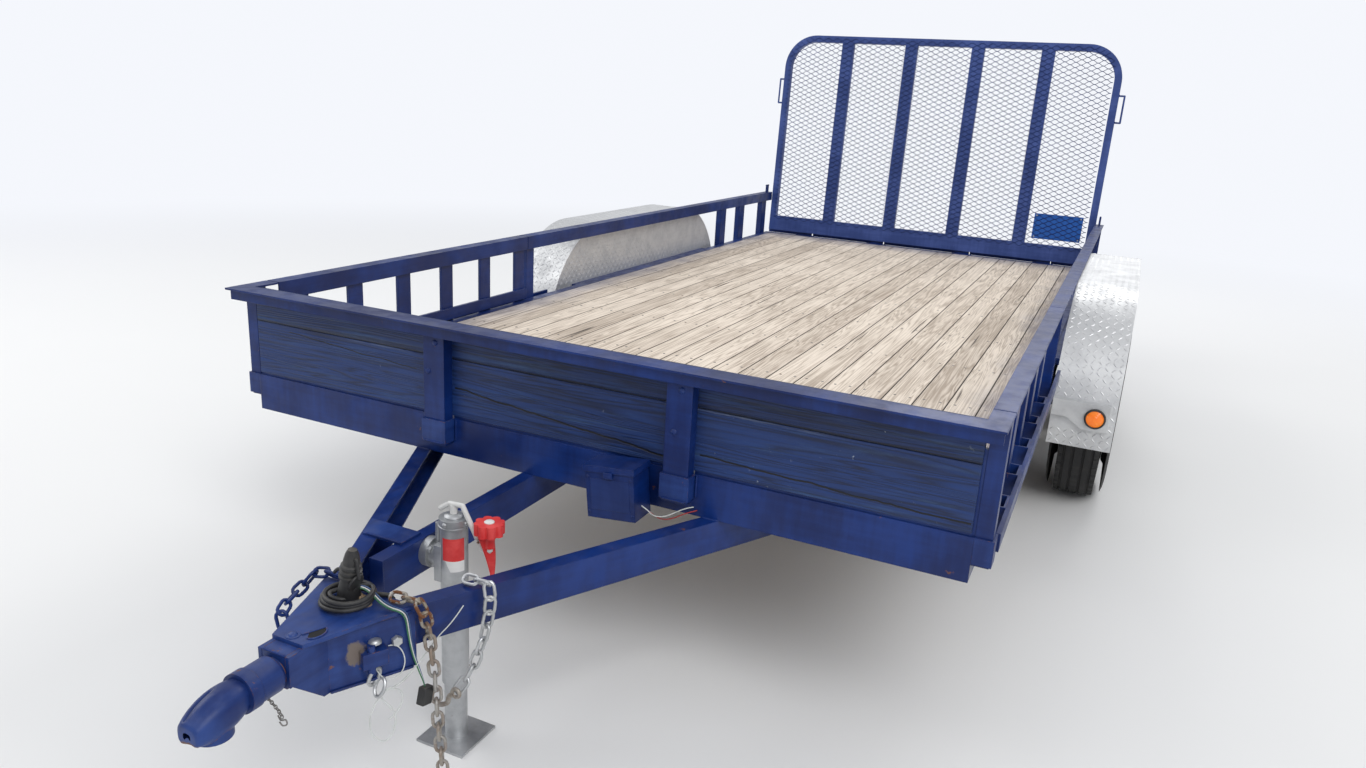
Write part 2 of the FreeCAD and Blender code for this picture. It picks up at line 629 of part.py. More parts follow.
KNOB_LOBES = 8
knob_low = "jack_top + jack_cap - 16"
lobes = []
for number in range(KNOB_LOBES):
    turn = 360.0 * number / KNOB_LOBES
    lobes.append(rod(
        f"knob_lobe_{number + 1}", f"knob_place + (knob_radius - 9) * cos({turn})",
        f"jack_front + (knob_radius - 9) * sin({turn})", knob_low, "9", "knob_height",
    ))
lobes.append(rod("knob_disc", "knob_place", "jack_front", knob_low, "knob_radius - 6", "knob_height"))
lobes.append(rod("knob_stem", "knob_place", "jack_front", "jack_top - 30", "11", f"{knob_low} - jack_top + 30"))
fuse("jack_knob", lobes)

# Headboard: cap, two boards, two stakes in pockets and two corner posts
CAP_REAR = f"({CAP_FRONT} + cap_depth)"
RETURN_REAR = "(frame_front + cap_return)"
LEG_FRONT = f"({CAP_FRONT} + cap_setback)"
body_pads("headboard_cap", [
    ("xy", [
        (f"-{CAP_HALF}", CAP_FRONT), (CAP_HALF, CAP_FRONT), (CAP_HALF, RETURN_REAR),
        (RAIL_INNER, RETURN_REAR), (RAIL_INNER, CAP_REAR), (f"-{RAIL_INNER}", CAP_REAR),
        (f"-{RAIL_INNER}", RETURN_REAR), (f"-{CAP_HALF}", RETURN_REAR),
    ], RAIL_UNDER, "cap_wall"),
    ("xy", [
        (f"-{CAP_HALF} + cap_wall", LEG_FRONT), (f"{CAP_HALF} - cap_wall", LEG_FRONT),
        (f"{CAP_HALF} - cap_wall", f"{LEG_FRONT} + cap_wall"),
        (f"-{CAP_HALF} + cap_wall", f"{LEG_FRONT} + cap_wall"),
    ], f"{RAIL_UNDER} - cap_leg", "cap_leg"),
])

BOARD_HALF = "(frame_half - board_end_gap)"
BOARD_LOW = "(frame_top + board_lift)"
BOARD_SPLIT = f"({BOARD_LOW} + board_low_height)"
group("headboard_boards", [
    box(f"board_{number}", f"-{BOARD_HALF}", "frame_front", low, f"2 * {BOARD_HALF}", "board_thick",
        f"{high} - {low}")
    for number, low, high in (
        (1, BOARD_LOW, BOARD_SPLIT), (2, f"({BOARD_SPLIT} + plank_gap)", RAIL_UNDER),
    )
])

POCKET_BOTTOM = "(frame_top - pocket_height)"
stakes = []
pockets = []
for side, place in (("left", "stake_left"), ("right", "stake_right")):
    stakes.append(box(
        f"stake_{side}", f"{place} - stake_width / 2", "frame_front - stake_depth", f"{POCKET_BOTTOM} - 8",
        "stake_width", "stake_depth", f"{RAIL_UNDER} - {POCKET_BOTTOM} + 8",
    ))
    outer = box(
        f"front_pocket_{side}_outer", f"{place} - stake_width / 2 - pocket_wall",
        "frame_front - stake_depth - pocket_wall", POCKET_BOTTOM, "stake_width + 2 * pocket_wall",
        "stake_depth + pocket_wall", "pocket_height",
    )
    inner = box(
        f"front_pocket_{side}_inner", f"{place} - stake_width / 2", "frame_front - stake_depth",
        f"{POCKET_BOTTOM} - 1", "stake_width", "stake_depth + 1", "pocket_height + 2",
    )
    pockets.append(cut(f"front_pocket_{side}", outer, inner))
for side, sign in SIDES:
    stakes.append(side_box(
        f"corner_post_{side}", sign, "frame_half", "frame_half + corner_post - 1",
        "frame_front + pocket_wall", f"{POCKET_BOTTOM} - 4", "corner_post", f"{RAIL_UNDER} - {POCKET_BOTTOM} + 4",
    ))
    outer = side_box(
        f"corner_pocket_{side}_outer", sign, "frame_half", "frame_half + corner_post - 1 + pocket_wall",
        "frame_front", POCKET_BOTTOM, "corner_post + 2 * pocket_wall", "pocket_height",
    )
    inner = side_box(
        f"corner_pocket_{side}_inner", sign, "frame_half - 1", "frame_half + corner_post - 1",
        "frame_front + pocket_wall", f"{POCKET_BOTTOM} - 1", "corner_post", "pocket_height + 2",
    )
    pockets.append(cut(f"corner_pocket_{side}", outer, inner))
group("headboard_stakes", stakes)

# Side rails: angle tops, flat uprights in side pockets, bottom bars, rear posts
POCKET_LOW = "(frame_top - side_pocket_height)"
UPRIGHT_OUT = "(frame_half + upright_depth)"
# As many uprights as fit between the frame front and the fender
UPRIGHT_COUNT = {
    side: int((
        size("frame_rear") - size("axle_setback") - size("axle_spread") / 2 - size("fender_radius")
        - size("frame_front") - size(f"upright_{side}")
    ) / size("upright_pitch"))
    for side, sign in SIDES
}
# Each row: front face of a post, width along the rail
REAR_POSTS = (
    (f"({FENDER_FRONT} - post_ahead)", "post_narrow"), (f"({FENDER_REAR} - post_beside)", "post_wide"),
    ("(frame_rear - post_third)", "post_wide"), ("(frame_rear - post_last)", "post_wide"),
)
rail_tops = []
uprights = []
bottom_bars = []
posts = []
for side, sign in SIDES:
    sections = (
        (f"({RETURN_REAR} + rail_gap)", "(frame_front + rail_joint - rail_gap)"),
        ("(frame_front + rail_joint)", "(frame_rear + rail_tail)"),
    )
    for number, (start, end) in enumerate(sections, start=1):
        rail_tops.append(fuse(f"rail_{side}_{number}", [
            side_box(f"rail_flat_{side}_{number}", sign, RAIL_INNER, CAP_HALF, start, RAIL_UNDER,
                     f"{end} - {start}", "cap_wall"),
            side_box(f"rail_leg_{side}_{number}", sign, RAIL_INNER, f"{RAIL_INNER} + cap_wall", start,
                     "cap_top - rail_drop", f"{end} - {start}", "rail_drop"),
        ]))
    for number in range(UPRIGHT_COUNT[side]):
        middle = f"(frame_front + upright_{side} + upright_pitch * {number})"
        uprights.append(side_box(
            f"upright_{side}_{number + 1}", sign, "frame_half", "frame_half + upright_thick",
            f"{middle} - upright_width / 2", POCKET_LOW, "upright_width", f"{RAIL_UNDER} - {POCKET_LOW}",
        ))
        outer = side_box(
            f"side_pocket_{side}_{number + 1}_outer", sign, "frame_half", f"{UPRIGHT_OUT} + pocket_wall",
            f"{middle} - upright_width / 2 - pocket_wall", POCKET_LOW, "upright_width + 2 * pocket_wall",
            "side_pocket_height",
        )
        inner = side_box(
            f"side_pocket_{side}_{number + 1}_inner", sign, "frame_half - 1", UPRIGHT_OUT,
            f"{middle} - upright_width / 2", f"{POCKET_LOW} - 1", "upright_width", "side_pocket_height + 2",
        )
        pockets.append(cut(f"side_pocket_{side}_{number + 1}", outer, inner))
    first = f"(frame_front + upright_{side} - upright_width / 2)"
    bar_length = f"upright_pitch * {UPRIGHT_COUNT[side] - 1} + upright_width"
    bottom_bars.append(side_box(
        f"bottom_bar_{side}", sign, "frame_half - bar_thick", "frame_half", first, "frame_top + bar_lift",
        bar_length, "bottom_bar",
    ))
    for number, (place, width) in enumerate(REAR_POSTS, start=1):
        outer = side_box(
            f"post_{side}_{number}_outer", sign, "frame_half", UPRIGHT_OUT, f"{place}", POCKET_LOW,
            f"{width}", f"{RAIL_UNDER} - {POCKET_LOW}",
        )
        inner = side_box(
            f"post_{side}_{number}_inner", sign, "frame_half + post_wall", f"{UPRIGHT_OUT} + 1",
            f"{place} + post_wall", f"{POCKET_LOW} - 1", f"{width} - 2 * post_wall",
            f"{RAIL_UNDER} - {POCKET_LOW} + 2",
        )
        posts.append(cut(f"post_{side}_{number}", outer, inner))
group("side_rails", rail_tops)
group("rail_uprights", uprights)
group("rail_bottom_bars", bottom_bars)
group("rail_posts", posts)
group("stake_pockets", pockets)

# Rod loops that stand on the rear ends of the side rails
LOOP_Y = "(frame_rear - 12)"
pins = []
for side, sign in SIDES:
    loop_x = f"{sign}({CAP_HALF} - rail_width / 2)"
    pins.append(fuse(f"rail_loop_{side}", [
        rod(f"rail_loop_{side}_front", loop_x, f"{LOOP_Y} - 14", "cap_top", "loop_radius", "42"),
        rod(f"rail_loop_{side}_rear", loop_x, f"{LOOP_Y} + 14", "cap_top", "loop_radius", "42"),
        rod(f"rail_loop_{side}_top", loop_x, f"{LOOP_Y} - 14 - loop_radius", "cap_top + 42", "loop_radius",
            "28 + 2 * loop_radius", "y"),
    ]))
group("latch_pins", pins)

# Rub rails outside the pockets, from the corner pockets to the fenders
RUB_FRONT = "(frame_front + corner_post + 2 * pocket_wall + 2)"
group("rub_rails", [
    side_box(f"rub_rail_{side}", sign, f"{UPRIGHT_OUT} + pocket_wall", f"{UPRIGHT_OUT} + pocket_wall + rub_thick",
             RUB_FRONT, "frame_top - rub_height", f"{FENDER_FRONT} - {RUB_FRONT} - 8", "rub_height")
    for side, sign in SIDES
])

# Fenders: one bent sheet round both wheels, an outer lip, and lamp brackets at both ends
SKIRT_LOW = f"({AXLE_Z} - fender_skirt)"


def wheel_arch(name, sign, inner, outer, radius, low):
    """Make the solid space under a fender: two rounds over the axles and a flat top."""
    x = spanned(sign, inner, outer)
    width = f"({outer}) - ({inner})"
    front, rear = AXLES[0][1], AXLES[1][1]
    return fuse(name, [
        rod(f"{name}_front", x, front, AXLE_Z, radius, width, "x"),
        rod(f"{name}_rear", x, rear, AXLE_Z, radius, width, "x"),
        box(f"{name}_top", x, front, AXLE_Z, width, f"{rear} - {front}", radius),
        box(f"{name}_base", x, f"{front} - ({radius})", low, width, f"{rear} - {front} + 2 * ({radius})",
            f"{AXLE_Z} - {low}"),
    ])


for side, sign in SIDES:
    below = box(
        f"fender_{side}_below", spanned(sign, f"{FENDER_IN} - 10", f"{FENDER_OUT} + 10"),
        f"{FENDER_FRONT} - 10", f"{AXLE_Z} - fender_radius - 10", "fender_width + 20",
        f"{FENDER_REAR} - {FENDER_FRONT} + 20", "fender_radius + 10 - fender_skirt",
    )
    solids = [wheel_arch(f"fender_{side}_sheet", sign, FENDER_IN, FENDER_OUT, "fender_radius", SKIRT_LOW)]
    for end, face, inward in (
        ("front", f"({FENDER_FRONT} - bracket_reach)", f"({FENDER_FRONT} - bracket_reach)"),
        ("rear", f"({FENDER_REAR} + bracket_reach - fender_sheet)", f"({FENDER_REAR} - 60)"),
    ):
        edge_in = f"{FENDER_IN} + 1"
        edge_out = f"({edge_in} + bracket_width)"
        solids.append(side_box(
            f"bracket_{side}_{end}_ledge", sign, edge_in, edge_out, inward, "bracket_top - fender_sheet",
            "bracket_reach + 60", "fender_sheet",
        ))
        plate = [
            (edge_in, "0"), (f"{edge_in} + 50", "0"), (f"{edge_in} + 98", "-35"), (edge_out, "-35"),
            (edge_out, "bracket_top"), (edge_in, "bracket_top"),
        ]
        solids.append(body_pads(f"bracket_{side}_{end}_plate", [
            ("xz", mirror_points(plate, sign), face, "fender_sheet"),
        ]))
        solids.append(side_box(
            f"bracket_{side}_{end}_side", sign, f"{edge_out} - fender_sheet", edge_out, inward, "-35",
            "bracket_reach + 60", "bracket_top + 35",
        ))
    inside = wheel_arch(
        f"fender_{side}_inside", sign, f"{FENDER_IN} - 1", f"{FENDER_OUT} - fender_sheet",
        "fender_radius - fender_sheet", f"({SKIRT_LOW} - 1)",
    )
    opening = wheel_arch(
        f"fender_{side}_opening", sign, f"{FENDER_OUT} - fender_sheet - 1", f"{FENDER_OUT} + 1",
        "fender_radius - fender_lip", f"({SKIRT_LOW} - 1)",
    )
    cut(f"fender_{side}", fuse(f"fender_{side}_solid", solids), fuse(f"fender_{side}_tools", [inside, opening, below]))

# Fender panels against the rails' posts, on bars along the side beams
panels = []
PANEL_LOW = "(frame_top - panel_lift)"
for side, sign in SIDES:
    whole = wheel_arch(
        f"panel_{side}_arch", sign, f"{FENDER_IN} - fender_sheet", FENDER_IN, "fender_radius", SKIRT_LOW,
    )
    lower = box(
        f"panel_{side}_lower", spanned(sign, f"{FENDER_IN} - 10", f"{FENDER_IN} + 10"), f"{FENDER_FRONT} - 10",
        f"{AXLE_Z} - fender_radius - 10", "20", f"{FENDER_REAR} - {FENDER_FRONT} + 20",
        f"{PANEL_LOW} - {AXLE_Z} + fender_radius + 10",
    )
    panels.append(cut(f"panel_{side}", whole, lower))
group("fender_panels", panels)
group("fender_bars", [
    side_box(f"fender_bar_{side}", sign, "frame_half", f"{FENDER_IN} - fender_sheet",
             f"{AXLES[0][1]} - fender_radius * 0.6", PANEL_LOW, "axle_spread + fender_radius * 1.2",
             "panel_lift - 4")
    for side, sign in SIDES
])

# Lamps: amber in front, red behind, each in a bezel, and two flat lamps in the rear crossmember
LAMP_X = f"({FENDER_IN} + lamp_place)"
bezels = []
reds = []
ambers = []
for side, sign in SIDES:
    for end, face in (
        ("front", f"({FENDER_FRONT} - bracket_reach - lamp_depth)"), ("rear", f"({FENDER_REAR} + bracket_reach)"),
    ):
        lens = rod(f"lens_{side}_{end}", f"{sign}{LAMP_X}", face, "lamp_height", "lamp_radius", "lamp_depth", "y")
        seat = f"{face} + lamp_depth / 3" if end == "front" else face
        ring = rod(f"bezel_{side}_{end}_outer", f"{sign}{LAMP_X}", seat, "lamp_height", "bezel_radius",
                   "lamp_depth * 2 / 3", "y")
        hole = rod(f"bezel_{side}_{end}_hole", f"{sign}{LAMP_X}", f"{seat} - 1", "lamp_height", "lamp_radius",
                   "lamp_depth + 2", "y")
        bezels.append(cut(f"bezel_{side}_{end}", ring, hole))
        (ambers if end == "front" else reds).append(lens)
    reds.append(box(f"tail_{side}", f"{sign}tail_place - tail_width / 2", "frame_rear",
                    f"frame_top - channel_height / 2 - tail_height / 2", "tail_width", "lamp_depth", "tail_height"))
group("marker_lamps", ambers)
group("tail_lamps", reds)
group("lamp_bezels", bezels)

# Axles, leaf springs and hangers
axles = []
SEAT_MIDDLE = "(frame_half - channel_flange / 2)"
for name, place in AXLES:
    axles.append(fuse(f"axle_{name}", [
        rod(f"axle_{name}_tube", f"-{WHEEL_X} + 112", place, AXLE_Z, "axle_radius", f"2 * {WHEEL_X} - 224", "x"),
        rod(f"axle_{name}_spindle", f"-{WHEEL_X} - 26", place, AXLE_Z, "spindle_radius", f"2 * {WHEEL_X} + 52", "x"),
    ] + [
        side_box(f"axle_{name}_seat_{side}", sign, f"{SEAT_MIDDLE} - spring_width / 2",
                 f"{SEAT_MIDDLE} + spring_width / 2", f"{place} - 40", f"{AXLE_Z} + axle_radius - 12", "80", "18")
        for side, sign in SIDES
    ]))
group("axles", axles)


def leaf_spring(name, middle, low_x):
    """Make a leaf pack: a main leaf between two eyes over three shorter leaves."""
    half = size("spring_span") / 2
    leaf = size("leaf_thick")
    seat = size("wheel_radius") - size("ball_height") + size("axle_radius") + 6.0
    top = seat + 4 * leaf
    sag = size("eye_height") - top
    radius = (half * half + sag * sag) / (2 * sag)
    centre_z = top + radius
    shapes = []
    for number, reach in enumerate((1.0, 0.78, 0.56, 0.34)):
        outer = radius + leaf * (number + 1)
        inner = radius + leaf * number
        swing = math.asin(half * reach / radius)
        points = []
        for bow, turns in ((outer, (-swing, 0.0, swing)), (inner, (swing, 0.0, -swing))):
            points.append([
                FreeCAD.Vector(low_x, middle + bow * math.sin(turn), centre_z - bow * math.cos(turn))
                for turn in turns
            ])
        edges = [
            Part.Arc(*points[0]).toShape(), Part.makeLine(points[0][2], points[1][0]),
            Part.Arc(*points[1]).toShape(), Part.makeLine(points[1][2], points[0][0]),
        ]
        face = Part.Face(Part.Wire(edges))
        shapes.append(face.extrude(FreeCAD.Vector(size("spring_width"), 0, 0)))
    for end in (-1, 1):
        shapes.append(Part.makeCylinder(
            size("eye_radius"), size("spring_width"),
            FreeCAD.Vector(low_x, middle + end * half, size("eye_height")), X_AXIS,
        ))
    bolts = [
        Part.makeCylinder(
            size("eye_bore"), size("spring_width") + 2.0,
            FreeCAD.Vector(low_x - 1.0, middle + end * half, size("eye_height")), X_AXIS,
        )
        for end in (-1, 1)
    ]
    item = doc.addObject("Part::Feature", name)
    item.Shape = shapes[0].multiFuse(shapes[1:]).removeSplitter().cut(bolts)
    item.Placement = FreeCAD.Placement()
    return item


springs = []
seat_middle = size("frame_half") - size("channel_flange") / 2
axle_middle = size("frame_rear") - size("axle_setback")
for hand in (-1.0, 1.0):
    low_x = hand * seat_middle - size("spring_width") / 2
    for turn in (-1.0, 1.0):
        middle = axle_middle + turn * size("axle_spread") / 2
        springs.append(leaf_spring(f"spring_{len(springs) + 1}", middle, low_x))
group("leaf_springs", springs)

# Each row: name, place along Y, half width inside the hanger's walls
HANGERS = (
    ("front", f"({AXLES[0][1]} - spring_span / 2)", "(spring_width / 2 + hanger_wall)"),
    ("middle", AXLE_MIDDLE, "(spring_width / 2 + 2 * hanger_wall)"),
    ("rear", f"({AXLES[1][1]} + spring_span / 2)", "(spring_width / 2 + hanger_wall)"),
)
hangers = []
for side, sign in SIDES:
    for name, place, reach in HANGERS:
        label = f"hanger_{side}_{name}"
        pieces = [side_box(
            f"{label}_pad", sign, f"{SEAT_MIDDLE} - {reach}", f"{SEAT_MIDDLE} + {reach}",
            f"{place} - hanger_depth / 2", f"{FRAME_BOTTOM} - hanger_wall", "hanger_depth", "hanger_wall",
        )]
        for wall, inner in (
            ("inner", f"{SEAT_MIDDLE} - {reach}"), ("outer", f"{SEAT_MIDDLE} + {reach} - hanger_wall"),
        ):
            pieces.append(side_box(
                f"{label}_{wall}", sign, inner, f"{inner} + hanger_wall", f"{place} - hanger_depth / 2",
                "eye_height - eye_radius - 3", "hanger_depth", f"{FRAME_BOTTOM} - eye_height + eye_radius + 3",
            ))
        pieces.append(rod(
            f"{label}_bolt", spanned(sign, f"{SEAT_MIDDLE} - {reach} - 8", f"{SEAT_MIDDLE} + {reach} + 8"),
            place, "eye_height", "eye_bore", f"2 * {reach} + 16", "x",
        ))
        hangers.append(fuse(label, pieces))
group("spring_hangers", hangers)

equalisers = []
EYE_GAP = "(axle_spread / 2 - spring_span / 2)"
for side, sign in SIDES:
    pieces = []
    for wall, inner in (
        ("inner", f"{SEAT_MIDDLE} - spring_width / 2 - hanger_wall"), ("outer", f"{SEAT_MIDDLE} + spring_width / 2"),
    ):
        label = f"equaliser_{side}_{wall}"
        plate = side_box(
            f"{label}_plate", sign, inner, f"{inner} + hanger_wall", f"{AXLE_MIDDLE} - {EYE_GAP} - eye_radius",
            "eye_height - eye_radius + 1", f"2 * {EYE_GAP} + 2 * eye_radius", "2 * eye_radius - 2",
        )
        hole = rod(f"{label}_hole", spanned(sign, f"{inner} - 1", f"{inner} + hanger_wall + 1"), AXLE_MIDDLE,
                   "eye_height", "eye_bore", "hanger_wall + 2", "x")
        pieces.append(cut(label, plate, hole))
    for end, turn in (("front", "-"), ("rear", "+")):
        pieces.append(rod(
            f"equaliser_{side}_{end}_bolt",
            spanned(sign, f"{SEAT_MIDDLE} - spring_width / 2 - hanger_wall",
                    f"{SEAT_MIDDLE} + spring_width / 2 + hanger_wall"),
            f"{AXLE_MIDDLE} {turn} {EYE_GAP}", "eye_height", "eye_bore", "spring_width + 2 * hanger_wall", "x",
        ))
    equalisers.append(fuse(f"equaliser_{side}", pieces))
group("spring_equalisers", equalisers)

# Tilted battery box with an overhanging lid, on a bracket on the front crossmember
BATTERY_Y = "(frame_front - battery_front)"
battery_case = box("battery_case", "0", "0", "0", "battery_width", "battery_depth", "battery_height * 0.9")
put(battery_case, "battery_left", BATTERY_Y, "battery_low", Y_AXIS, "-battery_tilt")
battery_lid = box("battery_lid", "0", "0", "0", "battery_width + 8", "battery_depth + 6", "battery_height * 0.12")
put(
    battery_lid, "battery_left - 4 - battery_height * 0.88 * sin(battery_tilt)", f"{BATTERY_Y} - 3",
    "battery_low + battery_height * 0.88 * cos(battery_tilt)", Y_AXIS, "-battery_tilt",
)
fuse("battery_box", [
    battery_case, battery_lid,
    box("battery_bracket", "battery_left + battery_width * 0.2", f"{BATTERY_Y} + battery_depth - 2",
        f"{FRAME_BOTTOM} + 12", "battery_width * 0.6", "battery_front - battery_depth + 2", "channel_height * 0.7"),
])

# Breakaway switch on the right nose plate, with its pull pin
fuse("breakaway_switch", [
    put(box("switch_body", "0", "0", "0", "20", "46", "30"),
        f"{beam_outer('nose_front + 130')} + nose_plate / cos(tongue_angle)", "nose_front + 130", "-28",
        Z_AXIS, "-tongue_angle"),
    rod("switch_pin", f"{beam_outer('nose_front + 140')} + nose_plate / cos(tongue_angle) + 14",
        "nose_front + 140", "-40", "7", "54"),
])

# Cable coiled on the top plate round the upright plug
cut(
    "cable_coil",
    rod("coil_outer", "0", "plug_back", PLATE_TOP, "coil_radius", "coil_height"),
    rod("coil_inner", "0", "plug_back", f"{PLATE_TOP} - 1", "plug_radius + 6", "coil_height + 2"),
)
PLUG_ROWS = (
    ("body", "0", "plug_radius", "plug_radius * 0.8", "58"),
    ("ring", "58", "plug_radius * 0.95", "plug_radius * 0.95", "8"),
    ("grip", "66", "plug_radius * 0.85", "plug_radius * 0.7", "18"),
    ("tip", "84", "plug_radius * 0.7", "plug_radius * 0.25", "26"),
)
plug_pieces = []
for name, start, low_radius, high_radius, height in PLUG_ROWS:
    piece = cone(f"plug_{name}", "0", "0", "0", low_radius, f"{high_radius} - 0.01", height)
    plug_pieces.append(put(
        piece, f"{start} * sin(plug_lean)", "plug_back",
        f"{PLATE_TOP} + plug_radius * sin(plug_lean) + {start} * cos(plug_lean)", Y_AXIS, "plug_lean",
    ))
fuse("trailer_plug", plug_pieces)

# Safety chains: each a route of points, cut into links of even pitch
plate_z = size("frame_top") - size("channel_height") + size("nose_plate")
beam_z = size("frame_top") - size("channel_height")
lie = (size("link_width") + size("link_wire")) / 2 * math.sqrt(0.5)
# Each row: X, Y, Z of a point on the route
LEFT_ROUTE = [
    (-66.0, 338.0, plate_z + lie + 0.7), (-118.0, 338.0, plate_z + lie + 3.0), (-132.0, 326.0, 50.0),
    (-130.0, 298.0, 44.0), (-119.0, 264.0, 40.0), (-108.0, 234.0, 32.0), (-99.0, 236.0, 6.0),
    (-105.0, 266.0, -4.0), (-114.0, 300.0, -8.0),
]
RIGHT_ROUTE = [
    (62.0, 334.0, plate_z + lie), (121.0, 338.0, plate_z + lie + 4.0), (130.0, 346.0, 40.0),
    (124.0, 358.0, 0.0), (128.0, 366.0, -80.0), (130.0, 370.0, -180.0), (136.0, 380.0, -340.0),
]
SPARE_ROUTE = [
    (122.0, 466.0, beam_z + lie), (178.0, 464.0, beam_z + lie + 5.0), (188.0, 458.0, 34.0),
    (180.0, 450.0, -30.0), (168.0, 434.0, -88.0), (158.0, 412.0, -124.0), (150.0, 392.0, -140.0),
]


def along_route(route, pitch):
    """Give points at an even pitch along a route of straight runs."""
    marks = [FreeCAD.Vector(*route[0])]
    corners = [FreeCAD.Vector(*point) for point in route]
    for near, far in zip(corners, corners[1:]):
        run = far.sub(near)
        while True:
            offset = near.sub(marks[-1])
            ahead = offset.dot(run) / run.Length
            gap = offset.Length ** 2 - pitch ** 2
            reach = -ahead + math.sqrt(max(ahead ** 2 - gap, 0.0))
            if reach > run.Length or reach <= 0.0:
                break
            marks.append(near.add(run * (reach / run.Length)))
    return marks


def chain_link(near, far, roll):
    """Make one eight-sided link between two contact points, turned about its length."""
    pitch, width, wire = size("link_pitch"), size("link_width"), size("link_wire")
    shapes = []
    for long_half, wide_half in ((pitch / 2 + wire, width / 2), (pitch / 2 + 0.4, width / 2 - wire)):
        corner = wide_half * 0.5
        ring = [
            (-long_half, -corner), (-long_half + corner, -wide_half), (long_half - corner, -wide_half),
            (long_half, -corner), (long_half, corner), (long_half - corner, wide_half),
            (-long_half + corner, wide_half), (-long_half, corner),
        ]
        points = [FreeCAD.Vector(along, across, -wire / 2) for along, across in ring]
        face = Part.Face(Part.makePolygon(points + points[:1]))
        shapes.append(face.extrude(FreeCAD.Vector(0, 0, wire)))
    link = shapes[0].cut(shapes[1])
    along = far.sub(near)
    turn = FreeCAD.Rotation(along, FreeCAD.Vector(0, 0, 0), FreeCAD.Vector(0, 0.1, 1), "XZY")
    middle = near.add(along * 0.5)
    link.Placement = FreeCAD.Placement(middle, turn.multiply(FreeCAD.Rotation(X_AXIS, roll)))
    return link


def safety_chain(name, route):
    """Make a chain of links, each link across the one before, as one joined piece."""
    marks = along_route(route, size("link_pitch"))
    links = [
        chain_link(near, far, 45.0 + 90.0 * (number % 2))
        for number, (near, far) in enumerate(zip(marks, marks[1:]))
    ]
    item = doc.addObject("Part::Feature", name)
    item.Shape = links[0].multiFuse(links[1:])
    item.Placement = FreeCAD.Placement()
    return item


safety_chain("safety_chain_left", LEFT_ROUTE)
safety_chain("safety_chain_right", RIGHT_ROUTE)
safety_chain("safety_chain_spare", SPARE_ROUTE)


# Gate, in its own frame at the hinge axis, leaned back
def gate_put(item):
    """Place a gate piece at the hinge axis with the lean of the closed gate."""
    return put(item, "0", HINGE_Y, HINGE_Z, X_AXIS, "-gate_lean")


half = size("frame_half") - size("gate_side_gap")
low = size("gate_start")
high = low + size("gate_height")
tube = size("gate_tube")
corner = size("gate_corner")
bar = size("gate_bar")
rib = size("gate_rib")


def arch(edge_half, bottom, top, radius, place, depth):
    """Extrude an arch-topped panel along Y."""
    side_x = edge_half - radius
    side_z = top - radius
    bend = radius * math.sqrt(0.5)
    ring = [
        Part.makeLine(FreeCAD.Vector(-edge_half, place, bottom), FreeCAD.Vector(edge_half, place, bottom)),
        Part.makeLine(FreeCAD.Vector(edge_half, place, bottom), FreeCAD.Vector(edge_half, place, side_z)),
        Part.Arc(
            FreeCAD.Vector(edge_half, place, side_z), FreeCAD.Vector(side_x + bend, place, side_z + bend),
            FreeCAD.Vector(side_x, place, top),
        ).toShape(),
        Part.makeLine(FreeCAD.Vector(side_x, place, top), FreeCAD.Vector(-side_x, place, top)),
        Part.Arc(
            FreeCAD.Vector(-side_x, place, top), FreeCAD.Vector(-side_x - bend, place, side_z + bend),
            FreeCAD.Vector(-edge_half, place, side_z),
        ).toShape(),
        Part.makeLine(FreeCAD.Vector(-edge_half, place, side_z), FreeCAD.Vector(-edge_half, place, bottom)),
    ]
    return Part.Face(Part.Wire(ring)).extrude(FreeCAD.Vector(0, depth, 0))


hoop = arch(half, low, high, corner, -tube / 2, tube)
hoop = hoop.cut(arch(half - tube, low + bar, high - tube, corner - tube, -tube, 2 * tube))
ribs = []
RIB_COUNT = 4
for number in range(RIB_COUNT):
    place = size("rib_shift") + size("rib_pitch") * (number - (RIB_COUNT - 1) / 2)
    ribs.append(Part.makeBox(
        rib, tube - 8.0, high - low - tube - bar + 2.0,
        FreeCAD.Vector(place - rib / 2, -tube / 2, low + bar - 1.0),
    ))
loops = []
loop_radius = size("loop_radius")
loop_low = high - size("loop_drop") - size("loop_length")
loop_high = loop_low + size("loop_length")
for hand in (-1.0, 1.0):
    reach = half + size("loop_reach")
    loops.append(rod_chain([
        FreeCAD.Vector(hand * (half - 2.0), 0, loop_low), FreeCAD.Vector(hand * reach, 0, loop_low),
        FreeCAD.Vector(hand * reach, 0, loop_high), FreeCAD.Vector(hand * (half - 2.0), 0, loop_high),
    ], loop_radius))
gate_frame = doc.addObject("Part::Feature", "gate_frame")
gate_frame.Shape = hoop.multiFuse(ribs + loops).removeSplitter()
gate_put(gate_frame)

